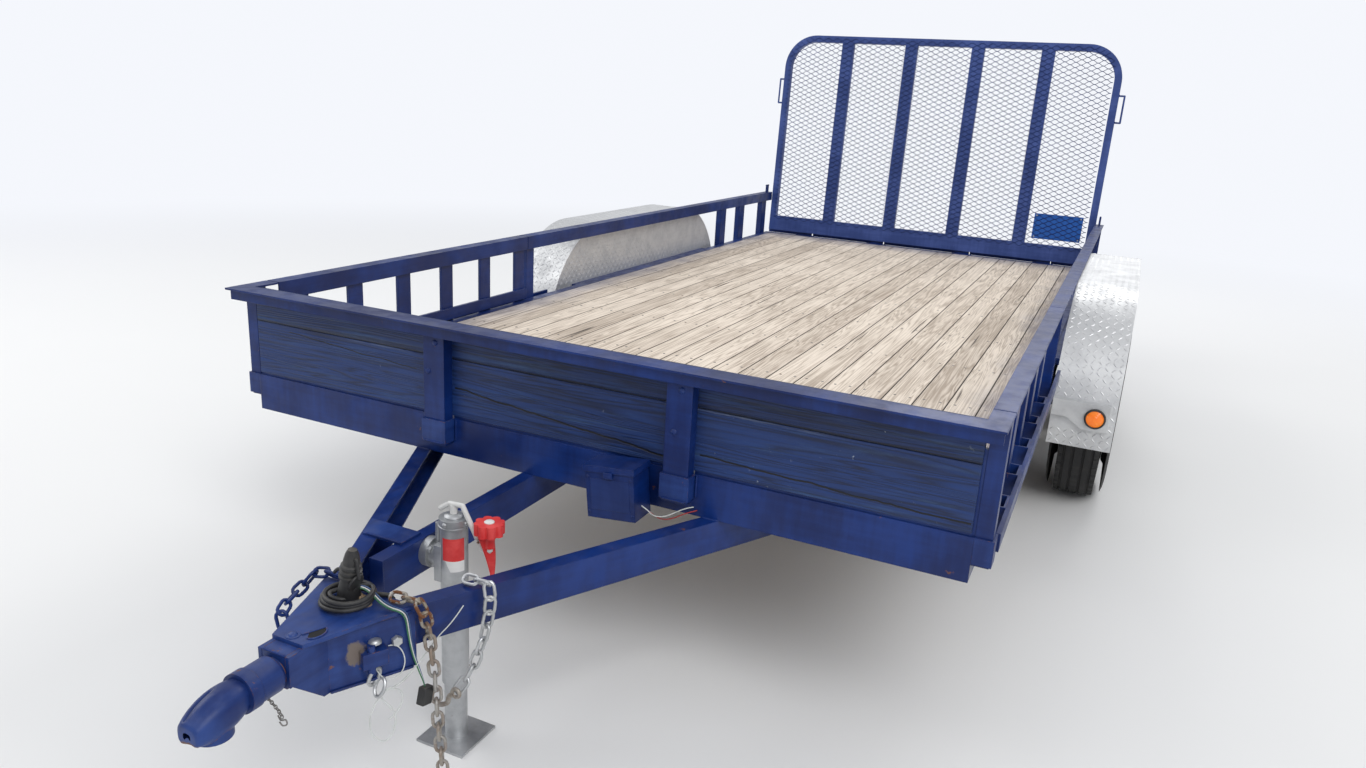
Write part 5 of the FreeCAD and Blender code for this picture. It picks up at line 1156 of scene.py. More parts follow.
@dataclass(frozen=True)
class Wiring:
    """Coiled cable with its plug, the thin wires beside it, and the pull cable of the breakaway switch."""

    middle: tuple[float, float] = (0.0, 0.292)
    cable: float = 0.0088
    lean: float = 8.0

    def plug(self) -> Object:
        """Turn the plug's body, ribbed grip and boot, and add its lid and catch."""
        profile = mm(
            (0, 0), (21.5, 0), (22, 4), (20.5, 14), (19.5, 30), (17.2, 44),
            (16.8, 50), (20.5, 52), (20.8, 56.5), (17.5, 58), (17.2, 61), (19.8, 62.5),
            (19.8, 66.5), (16.5, 68), (16.2, 71), (18.5, 72.5), (18.2, 76.5), (15, 79),
            (14.6, 86), (12, 98), (8, 107), (0, 109.5),
        )
        body = lathe(profile, 28)
        turn = np.linspace(0, 2 * np.pi, 20, endpoint=False)
        lid = lathe([(0.0, 0.0), (0.0165, 0.0), (0.017, 0.003), (0.013, 0.0055), (0.0, 0.006)], 20)
        tilt = np.array([[[0.25, 0.0, -0.97], [0.0, 1.0, 0.0], [0.97, 0.0, 0.25]]])
        lid = lid.turned(tilt, np.array([[0.0205, -0.006, 0.05]]))
        ear = tube(beside(
            -0.02 - 0.013 * np.sin(turn[:11] / 2), -0.004, 0.054 + 0.006 * np.cos(turn[:11]),
        ), 0.0034, 8, up=(0.0, 1.0, 0.0))
        catch = smooth_path(mm((6, -4, 88), (16, -6, 94), (22, -8, 80), (26, -8, 62)), 0.003)
        catch = tube(catch, 0.003, 8, up=(0.0, 1.0, 0.0))
        foot = np.array([[*self.middle, PLATE_TOP + 0.0032]])
        whole = joined(body, lid, ear, catch).turned(turned_about("Y", self.lean), foot)
        return make_piece("plug_body", whole, "black_rubber", replaces=("trailer_plug",))

    def coil(self) -> None:
        """Wind the cable: three loose turns that widen and narrow a little, then in to the plug."""
        plug = self.plug()
        turn = np.linspace(0.0, 3 * 2 * np.pi, 43)
        share = turn / turn[-1]
        radius = 0.0465 - 0.0022 * np.sin(turn * 1.3 + 0.6) - 0.0035 * share
        angle = turn + math.radians(62.0)
        height = PLATE_TOP + self.cable / 2 + 0.0006 + 0.0196 * share + 0.0008 * np.sin(2.1 * turn)
        x, y = self.middle[0] + radius * np.cos(angle), self.middle[1] + radius * np.sin(angle)
        turns = beside(x, y, height)
        lead_in = mm((52, 349, 54.5), (49, 344, 65), (38, 338, 65.2))
        inward = mm((-29, 276, 83.4), (-15, 264, 81), (2, 267.5, 79), (10, 277, 77.5), (11.5, 286, 76))
        route = np.concatenate([lead_in, turns, inward])
        Lead("cable_turns", "black_rubber", self.cable, "plug", "coiled", "limp").lay_out(
            route, ("cable_coil",))

    def wires(self, block_end: Object) -> None:
        """Hang the thin wires from the plug over the right plate, and the pull cable in its loop.

        Args:
            block_end: Connector block at the wires' lower end; not used.
        """
        for number, (finish, side, drop) in enumerate((
            ("wire_pale", 0, 0), ("wire_blue", 4.5, -6), ("wire_green", -4, 5),
        ), start=1):
            route = mm(
                (12, 296 + side, 94), (22, 306 + side, 93), (38, 313 + side, 80),
                (60, 310 + side, 69.5), (84, 307.5 + side, 66.5 - 0.1 * drop),
                (101, 313 + side, 64), (103, 325.5 + side, 46), (103.5, 330 + side, 4 + drop),
                (107, 335 + side, -36 + drop), (113, 344 + 0.4 * side, -73),
                (117, 351, -102), (117.5, 352, -114),
            )
            Lead(f"wire_{number}", "black_rubber", 0.0026, "connector", "hanging", finish=finish).lay_out(
                route)
        Lead("pull_cable", "galvanised", 0.0022, "bare", "hanging", finish="wire_pale").lay_out(mm(
            (146, 430, 30), (140, 405, 6), (128, 378, -13), (115, 346, -50),
            (97, 306, -87), (81, 280, -84), (79, 277, -104), (93, 299, -132),
            (93, 298, -174), (85, 283, -196), (74, 262, -178), (70, 254, -139),
            (76, 268, -106), (84, 285, -84), (98, 310, -94), (100, 313, -120),
            (94, 301, -142), (86, 288, -150),
        ))
        Lead("switch_wire", "black_rubber", 0.0022, "object", "hanging", finish="wire_pale").lay_out(mm(
            (83, 298, -4), (94, 304, 0), (101, 315, -18), (101, 321, -46),
            (96, 312, -68), (86, 293, -70), (79, 280, -58), (76, 273, -40),
        ))
        Lead("battery_wire_pale", "black_rubber", 0.003, "object", "hanging", finish="wire_pale").lay_out(mm(
            (262, 920, 74), (276, 918, 70), (290, 924, 54), (312, 938, 52),
            (336, 950, 66), (352, 962, 74), (362, 981, 72),
        ))
        Lead("battery_wire_red", "black_rubber", 0.0026, "object", "hanging", finish="wire_red").lay_out(mm(
            (262, 934, 64), (278, 934, 56), (300, 940, 42), (326, 950, 46),
            (350, 966, 60), (372, 981, 66),
        ))

    def connector(self) -> Object:
        """Make the blank connector block at the wires' lower end."""
        form = block((-0.0085, -0.013, -0.03), (0.0085, 0.013, 0.004))
        form = form.turned(turned_about("X", -16.0), mm((118.5, 354, -112)))
        return make_piece("wire_connector", form, "black_rubber", bevel=0.002)

    def grit(self) -> None:
        """Heap the dried dirt in the coil: height = cap of a mound times three crossed waves."""
        radius, turn = np.meshgrid(np.linspace(0.0, 1.0, 16), np.arange(48) * 2 * np.pi / 48, indexing="ij")
        reach = 0.0335 * (1 + 0.1 * np.sin(3 * turn + 0.7) + 0.06 * np.sin(7 * turn)) * radius
        x, y = reach * np.cos(turn), reach * np.sin(turn)
        waves = 0.6 + 0.25 * np.sin(310 * x + 2.0) * np.cos(270 * y) + 0.2 * np.sin(520 * (x - y))
        z = PLATE_TOP - 0.0008 + 0.019 * (1 - radius ** 4) * waves
        points = beside(self.middle[0] + x + 0.004, self.middle[1] + y + 0.004, z)
        heap = Surface(points.reshape(-1, 3), grid_quads(16, 48, wrap_columns=True))
        make_piece("coil_dirt", heap, "black_rubber", smooth_angle=70.0, finish="dried_dirt")

    def build(self) -> None:
        """Make all the wiring."""
        self.coil()
        self.grit()
        self.wires(self.connector())


@dataclass(frozen=True)
class Coupler:
    """Cast coupler head with its ball socket: a section that swells and narrows along Y."""

    axis: float = 0.016
    bore: float = 0.0256
    # Each row in millimetres: place along Y, half width, half height, height of the section's middle
    rows: tuple[tuple[float, float, float, float], ...] = (
        (-45, 8, 7, -2), (-44.8, 19.5, 16.5, -3), (-42.5, 22.8, 20, -2),
        (-34, 26.2, 24.2, 0), (-22, 29.5, 28, 3), (-8, 31.8, 30.6, 6),
        (8, 32.8, 32, 9), (22, 32.2, 31.6, 11.5), (34, 30.2, 30.2, 13.5),
        (43, 27.8, 28, 15), (50, 26, 26.2, 15.8), (54, 25, 25, 16),
        (57, 10, 10, 16), (57.2, 0.5, 0.5, 16),
    )

    def head(self) -> Surface:
        """Work out the head: (w |cos a|^0.74, y, m + h |sin a|^0.74), signs kept, open under the socket."""
        table = mm(*self.rows)
        count, around = 52, 60
        part = np.linspace(0, 1, count)
        marks = np.linspace(0, 1, len(table))
        place, wide, tall, mid = (np.interp(part, marks, table[:, i])[:, None] for i in range(4))
        angle = (np.arange(around) * 2 * np.pi / around)[None, :]
        cos, sin = np.cos(angle), np.sin(angle)
        x = wide * np.sign(cos) * np.abs(cos) ** 0.74
        z = mid + tall * np.sign(sin) * np.abs(sin) ** 0.74
        rib = np.exp(-((angle - 1.57) / 0.16) ** 2) * np.clip((0.03 - place) / 0.03, 0, 1)
        z = z + 0.0035 * rib * np.clip((place + 0.04) / 0.02, 0, 1)
        slit = np.exp(-((angle - 1.98) / 0.085) ** 2) * np.clip((0.02 - place) / 0.01, 0, 1)
        slit = slit * np.clip((place + 0.041) / 0.006, 0, 1)
        x, z = x * (1 - 0.34 * slit), mid + (z - mid) * (1 - 0.34 * slit)
        mouth = np.exp(-((angle - 4.9) / 0.55) ** 2) * np.clip((-0.024 - place) / 0.014, 0, 1)
        z = z + 0.007 * mouth
        points = beside(x, place, z).reshape(-1, 3)
        quads = grid_quads(count, around, wrap_columns=True)
        centre = points[quads].mean(axis=1)
        open_under = (np.hypot(centre[:, 0], centre[:, 1]) < self.bore + 0.004) & (centre[:, 2] < 0.0)
        return Surface(points, quads[~open_under].reshape(-1, 4))

    def socket(self) -> Surface:
        """Work out the socket: a ring below the head and a half round above it, in one turned profile."""
        turn = np.linspace(np.pi / 2, 0, 9)
        inner = [(self.bore * math.cos(a), self.bore * math.sin(a)) for a in turn]
        foot = [(self.bore, -0.026), (self.bore + 0.005, -0.026), (self.bore + 0.005, -0.006)]
        outer = [(inner[-1 - i][0] * 1.1, inner[-1 - i][1] * 1.1 + 0.001) for i in range(1, 9)]
        return lathe([(0.0, self.bore), *inner[1:], *foot, *outer[:-1], (0.0, 1.1 * self.bore + 0.001)], 40)

    def casting(self) -> None:
        """Make the head with its socket, neck and shank."""
        neck = lathe([(0.0255, 0.05), (0.0255, 0.142), (0.0, 0.142)], 32)
        lay = np.array([[[1.0, 0.0, 0.0], [0.0, 0.0, 1.0], [0.0, -1.0, 0.0]]])
        neck = neck.turned(lay, np.array([[0.0, 0.0, self.axis]]))
        shank = block((-0.0258, 0.1225, self.axis - 0.0255), (0.0258, 0.237, 0.0518))
        make_piece("coupler_casting", joined(self.head(), self.socket(), neck, shank), "blue_paint",
                   replaces=("coupler_head",), finish="head_blue", smooth_angle=50.0)

    def pin_chain(self) -> None:
        """Hang the small chain with its pin from an eye under the collar."""
        drop = smooth_path(mm((4, 100, -18), (7, 108, -34), (10, 116, -52), (12, 121, -68)), 0.0062)
        runs = np.diff(drop, axis=0)
        axes = axes_along(runs, np.array([1.0, 0.2, 0.0]))
        swap = (np.arange(len(runs)) % 2)[:, None, None]
        axes = np.where(swap == 1, axes[:, :, [0, 2, 1]] * np.array([1.0, 1.0, -1.0]), axes)
        turn = np.linspace(0, 2 * np.pi, 12, endpoint=False)
        ring = tube(beside(0.0045 * np.cos(turn), 0.0028 * np.sin(turn), 0.0), 0.0009, 5, closed=True)
        chain = ring.turned(axes, drop[:-1] + runs / 2)
        pin = smooth_path(mm((2, 120.5, -66), (8, 121, -74), (18, 122, -70), (20, 122, -78), (10, 122, -84),
                             (4, 121, -78)), 0.002)
        pin = tube(pin, 0.0013, 6, up=(0.0, 1.0, 0.0))
        eye = tube(beside(0.004 + 0.004 * np.cos(turn), 0.099, -0.0175 + 0.004 * np.sin(turn)),
                   0.0012, 6, closed=True, up=(0.0, 1.0, 0.0))
        make_piece("collar_pin_chain", joined(chain, pin, eye), "zinc", finish="dark_chain")

    def build(self) -> None:
        """Make the casting and the chain under it."""
        self.casting()
        self.pin_chain()


@dataclass(frozen=True)
class Drawbar:
    """Small steel of the drawbar: bolt and slot flap on the top plate, chain hooks and shackle."""

    def top_plate(self) -> None:
        """Set the bolt and the raised half-round flap on the top plate, with a flat black fan under the flap
        as painted shade for the hole.
        """
        bolt = placed(dome(0.0085, 0.006, 14), [(-0.002, 0.166, PLATE_TOP)], (0, 0, 1))
        washer = lathe([(0.0125, -0.001), (0.0125, 0.0012), (0.0, 0.0012)], 18)
        washer = washer.shifted(-0.002, 0.166, PLATE_TOP)
        turn = np.linspace(-np.pi / 2, np.pi / 2, 12)
        rim = beside(0.026 + 0.014 * np.cos(turn), 0.19 + 0.02 * np.sin(turn), PLATE_TOP + 0.001)
        flap = tube(np.concatenate([rim, rim[:1] + [-0.016, 0.004, 0.0]]), 0.0016, 6)
        make_piece("top_plate_bolt", joined(bolt, washer, flap), "blue_paint", finish="worn_blue")
        # Flat black fan under the flap: painted shade standing in for the dark hole
        fan = np.concatenate([rim, np.array([[0.012, 0.19, PLATE_TOP + 0.0007]])])
        fan[:, 2] = PLATE_TOP + 0.0007
        tris = beside(np.full(11, 12), np.arange(11), np.arange(1, 12))
        make_piece("top_plate_slot_shade", Surface(fan, tris=tris), "blue_paint", finish="painted_slot_shade")

    def hooks(self) -> None:
        """Carry wires round the lines of the hooks at the chains' ends."""
        hook = smooth_path(mm((0, 0, 0), (2, 0, -14), (12, 0, -26), (10, 0, -48), (-4, 0, -58),
                              (-16, 0, -48), (-17, 0, -34)), 0.0035)
        size_along = 0.0052 - 0.0018 * np.linspace(0, 1, len(hook)) ** 2
        form = tube(hook, size_along, 10, up=(0.0, 1.0, 0.0))
        eye_turn = np.linspace(0, 2 * np.pi, 16, endpoint=False)
        eye = tube(beside(0.0085 * np.cos(eye_turn), 0.0, 0.006 + 0.0085 * np.sin(eye_turn)),
                   0.0038, 8, closed=True, up=(0.0, 1.0, 0.0))
        form = joined(form, eye)
        side = np.array([[[0.0, 1.0, 0.0], [-1.0, 0.0, 0.0], [0.0, 0.0, 1.0]]])
        flat = np.array([[[0.55, 0.0, 0.83], [0.0, 1.0, 0.0], [-0.83, 0.0, 0.55]]])
        make_piece("chain_hook_right", form.turned(side, np.array([[0.1345, 0.3775, -0.322]])), "galvanised")
        make_piece("chain_hook_spare", form.turned(flat, np.array([[0.15, 0.393, -0.137]])), "rusty_chain")
        make_piece("chain_hook_left", form.turned(side, np.array([[-0.113, 0.297, -0.013]])), "blue_paint",
                   finish="blue_paint")

    def clevis(self) -> None:
        """Make the eye bolt, washers and shackle that hang on the right nose plate."""
        stem = placed(hex_head(0.0105, 0.009), [(0.0885, 0.312, 0.002)], (0.889, -0.457, 0.0))
        head = placed(dome(0.012, 0.007, 14), [(0.0735, 0.275, 0.0135)], (0.0, 0.0, 1.0))
        turn = np.linspace(0, 2 * np.pi, 18, endpoint=False)
        cos, sin = np.cos(turn), np.sin(turn)
        upper = beside(0.076 + 0.004 * sin, 0.268 + 0.014 * cos, -0.052 + 0.017 * sin)
        lower = beside(0.08 + 0.01 * cos, 0.276 + 0.008 * sin, -0.077 + 0.015 * sin)
        ring = tube(upper, 0.0036, 8, closed=True, up=(1.0, 0.0, 0.0))
        second = tube(lower, 0.0034, 8, closed=True, up=(0.3, 1.0, 0.0))
        make_piece("plate_shackle", joined(stem, head, ring, second), "galvanised")

    def build(self) -> None:
        """Make the small steel."""
        self.top_plate()
        self.hooks()
        self.clevis()


@dataclass(frozen=True)
class Jack:
    """Trim of the jack: blank label, tag, head bolt, washers and knob cap."""

    middle: tuple[float, float] = (0.0, 0.59)
    radius: float = 0.0285
    knob: Triple = (0.088, 0.59, 0.121)

    def label(self) -> None:
        """Wrap the blank label on the tube: a part of a cylinder, red above and pale below."""
        for name, finish, low, high, start, slope in (
            ("jack_label_upper", "red_plastic", 0.024, 0.074, -104.0, 0.0),
            ("jack_label_lower", "label_pale", 0.0, 0.024, -92.0, 24.0),
        ):
            rows = np.linspace(low, high, 6)
            lean = np.linspace(slope, 0.0, 6)
            begin = start + lean[:, None]
            angle = np.radians(np.linspace(0, 1, 20)[None, :] * (-8.0 - begin) + begin)
            reach = self.radius + 0.00035
            x, y = self.middle[0] + reach * np.cos(angle), self.middle[1] + reach * np.sin(angle)
            points = beside(x, y, rows[:, None]).reshape(-1, 3)
            make_piece(name, Surface(points, grid_quads(6, 20)[:, ::-1]), "white_metal", finish=finish)

    def tag(self) -> None:
        """Hang the tapered tag under the knob: a narrowing strip that curves as it falls."""
        part = np.linspace(0, 1, 14)
        half = 0.0155 * (1 - part) ** 0.75 + 0.0012
        fall = 0.094 - 0.1 * part
        bow = self.middle[1] - 0.01 + 0.01 * np.sin(part * 2.2)
        edge = np.linspace(-1, 1, 6)[None, :]
        x = self.knob[0] - 0.001 + 0.01 * part[:, None] + edge * half[:, None] * 0.62
        y = bow[:, None] + edge * half[:, None] * 0.78
        front = beside(x, y, fall[:, None]).reshape(-1, 3)
        tag = make_piece("jack_tag", Surface(front, grid_quads(14, 6)), "red_plastic")
        wall = tag.modifiers.new("wall", "SOLIDIFY")
        wall.thickness = 0.0012

    def metal(self) -> None:
        """Set the head's ring, cap and side bolts, the bolts of the mount and the knob's cap."""
        x, y = self.middle
        ring = lathe([(0.0305, 0.0), (0.0318, 0.001), (0.0318, 0.004), (0.0305, 0.005)], 36)
        ring = ring.shifted(x, y, 0.092)
        cap = lathe([(0.02, 0.0), (0.02, 0.003), (0.0165, 0.0065), (0.0085, 0.0085), (0.0, 0.0088)], 20)
        cap = cap.shifted(x, y, 0.1118)
        sides = placed(dome(0.0055, 0.0045), [(x, y - 0.0303, 0.104), (x + 0.0303, y, 0.104)],
                       [(0.0, -1.0, 0.0), (1.0, 0.0, 0.0)])
        disc = placed(hex_head(0.008, 0.006), [
            (x - 0.048, y + 0.024 * math.cos(a), 0.019 + 0.024 * math.sin(a))
            for a in (0.6, 2.5, 4.4)
        ], (1.0, 0.0, 0.0))
        make_piece("jack_head_ring", joined(ring, cap, sides, disc), "zinc")
        rivet = lathe([(0.0105, -0.001), (0.0105, 0.0015), (0.0075, 0.0035), (0.0, 0.0042)], 16)
        make_piece("knob_cap", rivet.shifted(*self.knob), "white_metal")

    def build(self) -> None:
        """Make the trim."""
        self.label()
        self.tag()
        self.metal()


@dataclass(frozen=True)
class TreadPlate:
    """Raised lugs of the tread plate on the fenders and on their inner panels."""

    pitch: float = 0.0205
    inner: float = 1.008
    width: float = 0.204
    radius: float = 0.452
    skirt: float = 0.04

    def lug(self, long: float = 0.01, wide: float = 0.0024, rise: float = 0.0011) -> Surface:
        """One lug: a long six-sided foot under a short ridge."""
        points = np.array([
            (-long, 0, 0), (-0.45 * long, -wide, 0), (0.45 * long, -wide, 0), (long, 0, 0),
            (0.45 * long, wide, 0), (-0.45 * long, wide, 0), (-0.55 * long, 0, rise), (0.55 * long, 0, rise),
        ], float)
        quads = np.array([(1, 2, 7, 6), (4, 5, 6, 7)])
        tris = np.array([(0, 1, 6), (5, 0, 6), (2, 3, 7), (3, 4, 7)])
        return Surface(points, quads, tris)

    def outline(self, along: Array) -> tuple[Array, Array]:
        """Place and outward normal on the fender's line: skirt, round, flat, round, skirt.

        Args:
            along: Distances in metres.

        Returns:
            Places and normals as Y and Z, count by 2 each.
        """
        bend = self.radius * math.pi / 2
        flat = AXLES[1] - AXLES[0]
        total = 2 * self.skirt + 2 * bend + flat
        half = np.minimum(along, total - along)
        turn = np.clip((half - self.skirt) / self.radius, 0, math.pi / 2)
        y = AXLES[0] - self.radius * np.cos(turn) + np.clip(half - self.skirt - bend, 0, None)
        z = AXLE_HEIGHT + self.radius * np.sin(turn) - np.clip(self.skirt - half, 0, None)
        normal_y, normal_z = -np.cos(turn), np.sin(turn)
        back = along > total / 2
        y = np.where(back, sum(AXLES) - y, y)
        normal_y = np.where(back, -normal_y, normal_y)
        return beside(y, z), beside(normal_y, normal_z)

    def frames(self, first: Array, normal: Array, turn: Array) -> Array:
        """Turn frames about their normals by plus or minus 45 degrees."""
        second = np.cross(normal, first)
        long = unit(first * np.cos(turn)[:, None] + second * np.sin(turn)[:, None])
        return beside(long, np.cross(normal, long), normal)

    def cover(self) -> Surface:
        """Lugs over the fender's outside, on the right-hand side."""
        bend = self.radius * math.pi / 2
        total = 2 * self.skirt + 2 * bend + AXLES[1] - AXLES[0]
        rows = int(total / self.pitch)
        columns = int(self.width / self.pitch)
        row, column = np.meshgrid(np.arange(rows), np.arange(columns), indexing="ij")
        row, column = row.ravel(), column.ravel()
        along = (row + 0.5) * total / rows
        place, normal = self.outline(along)
        x = self.inner + (column + 0.5) * self.width / columns
        places = beside(x, place[:, 0], place[:, 1])
        normals = beside(0.0, normal[:, 0], normal[:, 1])
        turn = np.where((row + column) % 2 == 0, np.pi / 4, -np.pi / 4)
        strip = (place[:, 1] < 0.064) & (place[:, 1] > -0.04)
        keep = ~(strip & (x < self.inner + 0.188))
        first = np.broadcast_to(np.array([1.0, 0.0, 0.0]), normals.shape)
        return self.lug().turned(self.frames(first, normals, turn)[keep], places[keep])

    def panel(self) -> Surface:
        """Lugs over the inner panel that faces the deck, on the right-hand side."""
        y, z = np.arange(2.52, 4.24, self.pitch), np.arange(0.14, 0.385, self.pitch)
        y, z = np.meshgrid(y, z, indexing="ij")
        count = y.shape[1]
        y, z = y.ravel(), z.ravel()
        nearest = np.clip(y, *AXLES)
        keep = np.hypot(y - nearest, z - AXLE_HEIGHT) < self.radius - 0.01
        number = np.arange(len(y))
        turn = np.where((number // count + number % count) % 2 == 0, np.pi / 4, -np.pi / 4)
        normals = np.broadcast_to(np.array([-1.0, 0.0, 0.0]), (len(y), 3))
        first = np.broadcast_to(np.array([0.0, 1.0, 0.0]), (len(y), 3))
        places = beside(self.inner - 0.003, y, z)
        return self.lug().turned(self.frames(first, normals, turn)[keep], places[keep])

    def build(self) -> None:
        """Set the lugs on both fenders."""
        whole = joined(self.cover(), self.panel())
        for side in Side:
            lugs = whole.mirrored(side.value)
            make_piece(f"tread_lugs_{side.word}", lugs, "tread_plate", smooth_angle=25.0)


@dataclass(frozen=True)
class Lamps:
    """Round lenses with rings, and ribbed rear lamps."""

    radius: float = 0.0282
    x: float = 1.148
    z: float = 0.008

    def lens(self) -> Surface:
        """A domed lens: height falls with the square of the radius, with fine rings on it."""
        r = np.linspace(self.radius * 0.98, 0.0, 26)
        height = 0.0065 + 0.004 * (1 - (r / self.radius) ** 2) + 0.00035 * np.cos(r / 0.0032 * 2 * np.pi)
        rows = [(self.radius, 0.0), (self.radius, 0.006)] + list(zip(r, height))
        return lathe(rows, 40)

    def build(self) -> None:
        """Make the amber and red lenses, their rims and the rear lamps."""
        front_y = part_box("marker_lamps")[0].y + 0.012
        front = [(side.value * self.x, front_y, self.z) for side in Side]
        make_piece("amber_lenses", placed(self.lens(), front, (0, -1, 0)), "amber_lens",
                   replaces=("marker_lamps",))
        rear_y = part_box("lamp_bezels")[1].y - 0.008
        rear = [(side.value * self.x, rear_y, self.z) for side in Side]
        lenses = placed(self.lens(), rear, (0, 1, 0))
        across = np.linspace(-1, 1, 41)
        up = np.linspace(-1, 1, 13)
        u, v = np.meshgrid(across, up, indexing="ij")
        swell = (1 - np.abs(u) ** 8) * (1 - np.abs(v) ** 6)
        depth = 0.0118 * np.clip(swell * 1.6, 0, 1) + 0.0006 * np.cos(u * 40) * swell
        tails = []
        for side in Side:
            x = side.value * 0.9 + u * 0.0648
            points = beside(x, 5.0151 + np.clip(depth, 0.0, None), 0.102 + v * 0.0228)
            tails.append(Surface(points.reshape(-1, 3), grid_quads(41, 13)[:, ::-1]))
        make_piece("red_lenses", joined(lenses, *tails), "red_lens", replaces=("tail_lamps",))
        rims = lathe([(0.0284, 0.0), (0.034, 0.0), (0.0342, 0.006), (0.0325, 0.0092), (0.03, 0.0098),
                      (0.0284, 0.0085)], 40)
        make_piece("lamp_rims", joined(
            placed(rims, front, (0, -1, 0)), placed(rims, rear, (0, 1, 0)),
        ), "black_rubber", replaces=("lamp_bezels",))


@dataclass(frozen=True)
class Wheel:
    """A tyre with its road tread, and a steel rim with windows, nuts and cap."""

    place: Triple
    side: Side
    name: str
    tread_blocks: int = 54

    def tyre(self) -> Surface:
        """The tyre: radius from a half profile mirrored about the middle, less the grooves' depth."""
        shape = mm(
            (0, 345), (30, 344.9), (58, 344), (72, 341.2), (83, 335), (92, 324),
            (98.5, 306), (101.5, 282), (101.5, 266), (98.5, 248), (92.5, 230), (84, 214),
            (77, 206), (75.5, 201), (69, 192.5),
        )
        across = mm(0, 12.5, 14.5, 20.5, 22.5, 42.5, 44.5, 50, 52, 60, 68, 74, 80, 86)
        tread_r = np.interp(across, shape[:, 0], shape[:, 1])
        side_rows = shape[5:]
        half_x = np.concatenate([across, side_rows[:, 0]])
        half_r = np.concatenate([tread_r, side_rows[:, 1]])
        order = np.concatenate([np.arange(len(half_x))[::-1], np.arange(1, len(half_x))])
        sign = np.concatenate([-np.ones(len(half_x)), np.ones(len(half_x) - 1)])
        x, r = half_x[order] * sign, half_r[order]
        count = self.tread_blocks * 5
        angle = np.arange(count) * 2 * np.pi / count
        groove = np.isin(np.round(np.abs(x), 4), (0.0145, 0.0205, 0.0445, 0.05))
        depth = np.where(groove, 0.0062, 0.0)[None, :] * np.ones((count, 1))
        shoulder = (np.abs(x) > 0.0515) & (np.abs(x) < 0.0865)
        slot = (np.arange(count) % 5 == 0)[:, None] & shoulder[None, :]
        centre = (np.abs(x) < 0.013)[None, :] & (np.arange(count) % 5 == 2)[:, None]
        depth = np.maximum(depth, np.where(slot, 0.0055, 0.0))
        depth = np.maximum(depth, np.where(centre, 0.0025, 0.0))
        ring = 0.0009 * np.where(np.isin(np.round(r, 4), (0.282, 0.23)), 1.0, 0.0)
        reach = r[None, :] - depth + ring[None, :]
        points = beside(x, reach * np.cos(angle)[:, None], reach * np.sin(angle)[:, None])
        inner = points[:, [-1, 0], :]
        points = np.concatenate([points, inner * np.array([0.92, 0.985, 0.985])], axis=1)
        return Surface(points.reshape(-1, 3), grid_quads(count, points.shape[1], True, True))

    def barrel(self) -> Surface:
        """The rim's barrel: a closed line turned round the axle."""
        bead = 0.19
        line = np.array([
            (bead + 0.012, -0.076), (bead + 0.012, -0.071), (bead, -0.068), (bead, -0.042),
            (bead - 0.016, -0.032), (bead - 0.016, 0.032), (bead, 0.042), (bead, 0.068),
            (bead + 0.012, 0.071), (bead + 0.012, 0.076),
            (bead - 0.004, 0.0755), (bead - 0.0045, 0.044), (bead - 0.0205, 0.034), (bead - 0.0205, -0.034),
            (bead - 0.0045, -0.044), (bead - 0.004, -0.0755),
        ])
        count = 72
        angle = np.arange(count) * 2 * np.pi / count
        r = line[:, 0]
        points = beside(line[:, 1], r * np.cos(angle)[:, None], r * np.sin(angle)[:, None])
        return Surface(points.reshape(-1, 3), grid_quads(count, len(line), True, True))

    def disc(self) -> Surface:
        """The disc: depth over radius from a table, with ten windows left open, as two skins 4 mm apart."""
        radii = mm(170, 164, 156, 148, 140, 131, 122, 110, 98, 86, 70, 50, 33)
        depth = mm(12, 10, 6, 4, 3.5, 6, 12, 19, 21, 17, 10, 10, 10)
        count = 120
        angle = np.arange(count) * 2 * np.pi / count
        front = beside(depth, radii * np.cos(angle)[:, None], radii * np.sin(angle)[:, None])
        quads = grid_quads(count, len(radii), wrap_rows=True)
        row, column = np.divmod(np.arange(len(quads)), len(radii) - 1)
        window = (row % 12 < 5) & (column >= 2) & (column <= 4)
        window |= (row % 12 >= 1) & (row % 12 < 4) & (column == 5)
        return Surface(front.reshape(-1, 3), quads[~window])

    def hub(self) -> Surface:
        """Nuts on a circle, the cap over the hub and the valve."""
        turn = np.arange(5) * 2 * np.pi / 5 + 0.3
        places = beside(0.0125, 0.057 * np.cos(turn), 0.057 * np.sin(turn))
        nut = [(0.011, 0.0), (0.011, 0.011), (0.0095, 0.013), (0.007, 0.017), (0.0, 0.0185)]
        nut = lathe(nut, 6, facet=True)
        stud = lathe([(0.0135, -0.002), (0.0135, 0.0015), (0.0, 0.0015)], 14)
        cap = lathe([(0.0345, -0.01), (0.0345, 0.026), (0.0365, 0.028), (0.0365, 0.031), (0.032, 0.036),
                     (0.024, 0.043), (0.01, 0.0465), (0.0, 0.047)], 28)
        pieces = placed(nut, places, (1, 0, 0))
        washers = placed(stud, places, (1, 0, 0))
        cover = placed(cap, np.array([[0.006, 0.0, 0.0]]), (1, 0, 0))
        valve = tube(mm((4, 0, 163), (14, 0, 160), (26, 0, 156), (40, 0, 151)),
                     mm(5.5, 4.5, 3.5, 3.5), 8)
        return joined(pieces, washers, cover, valve)

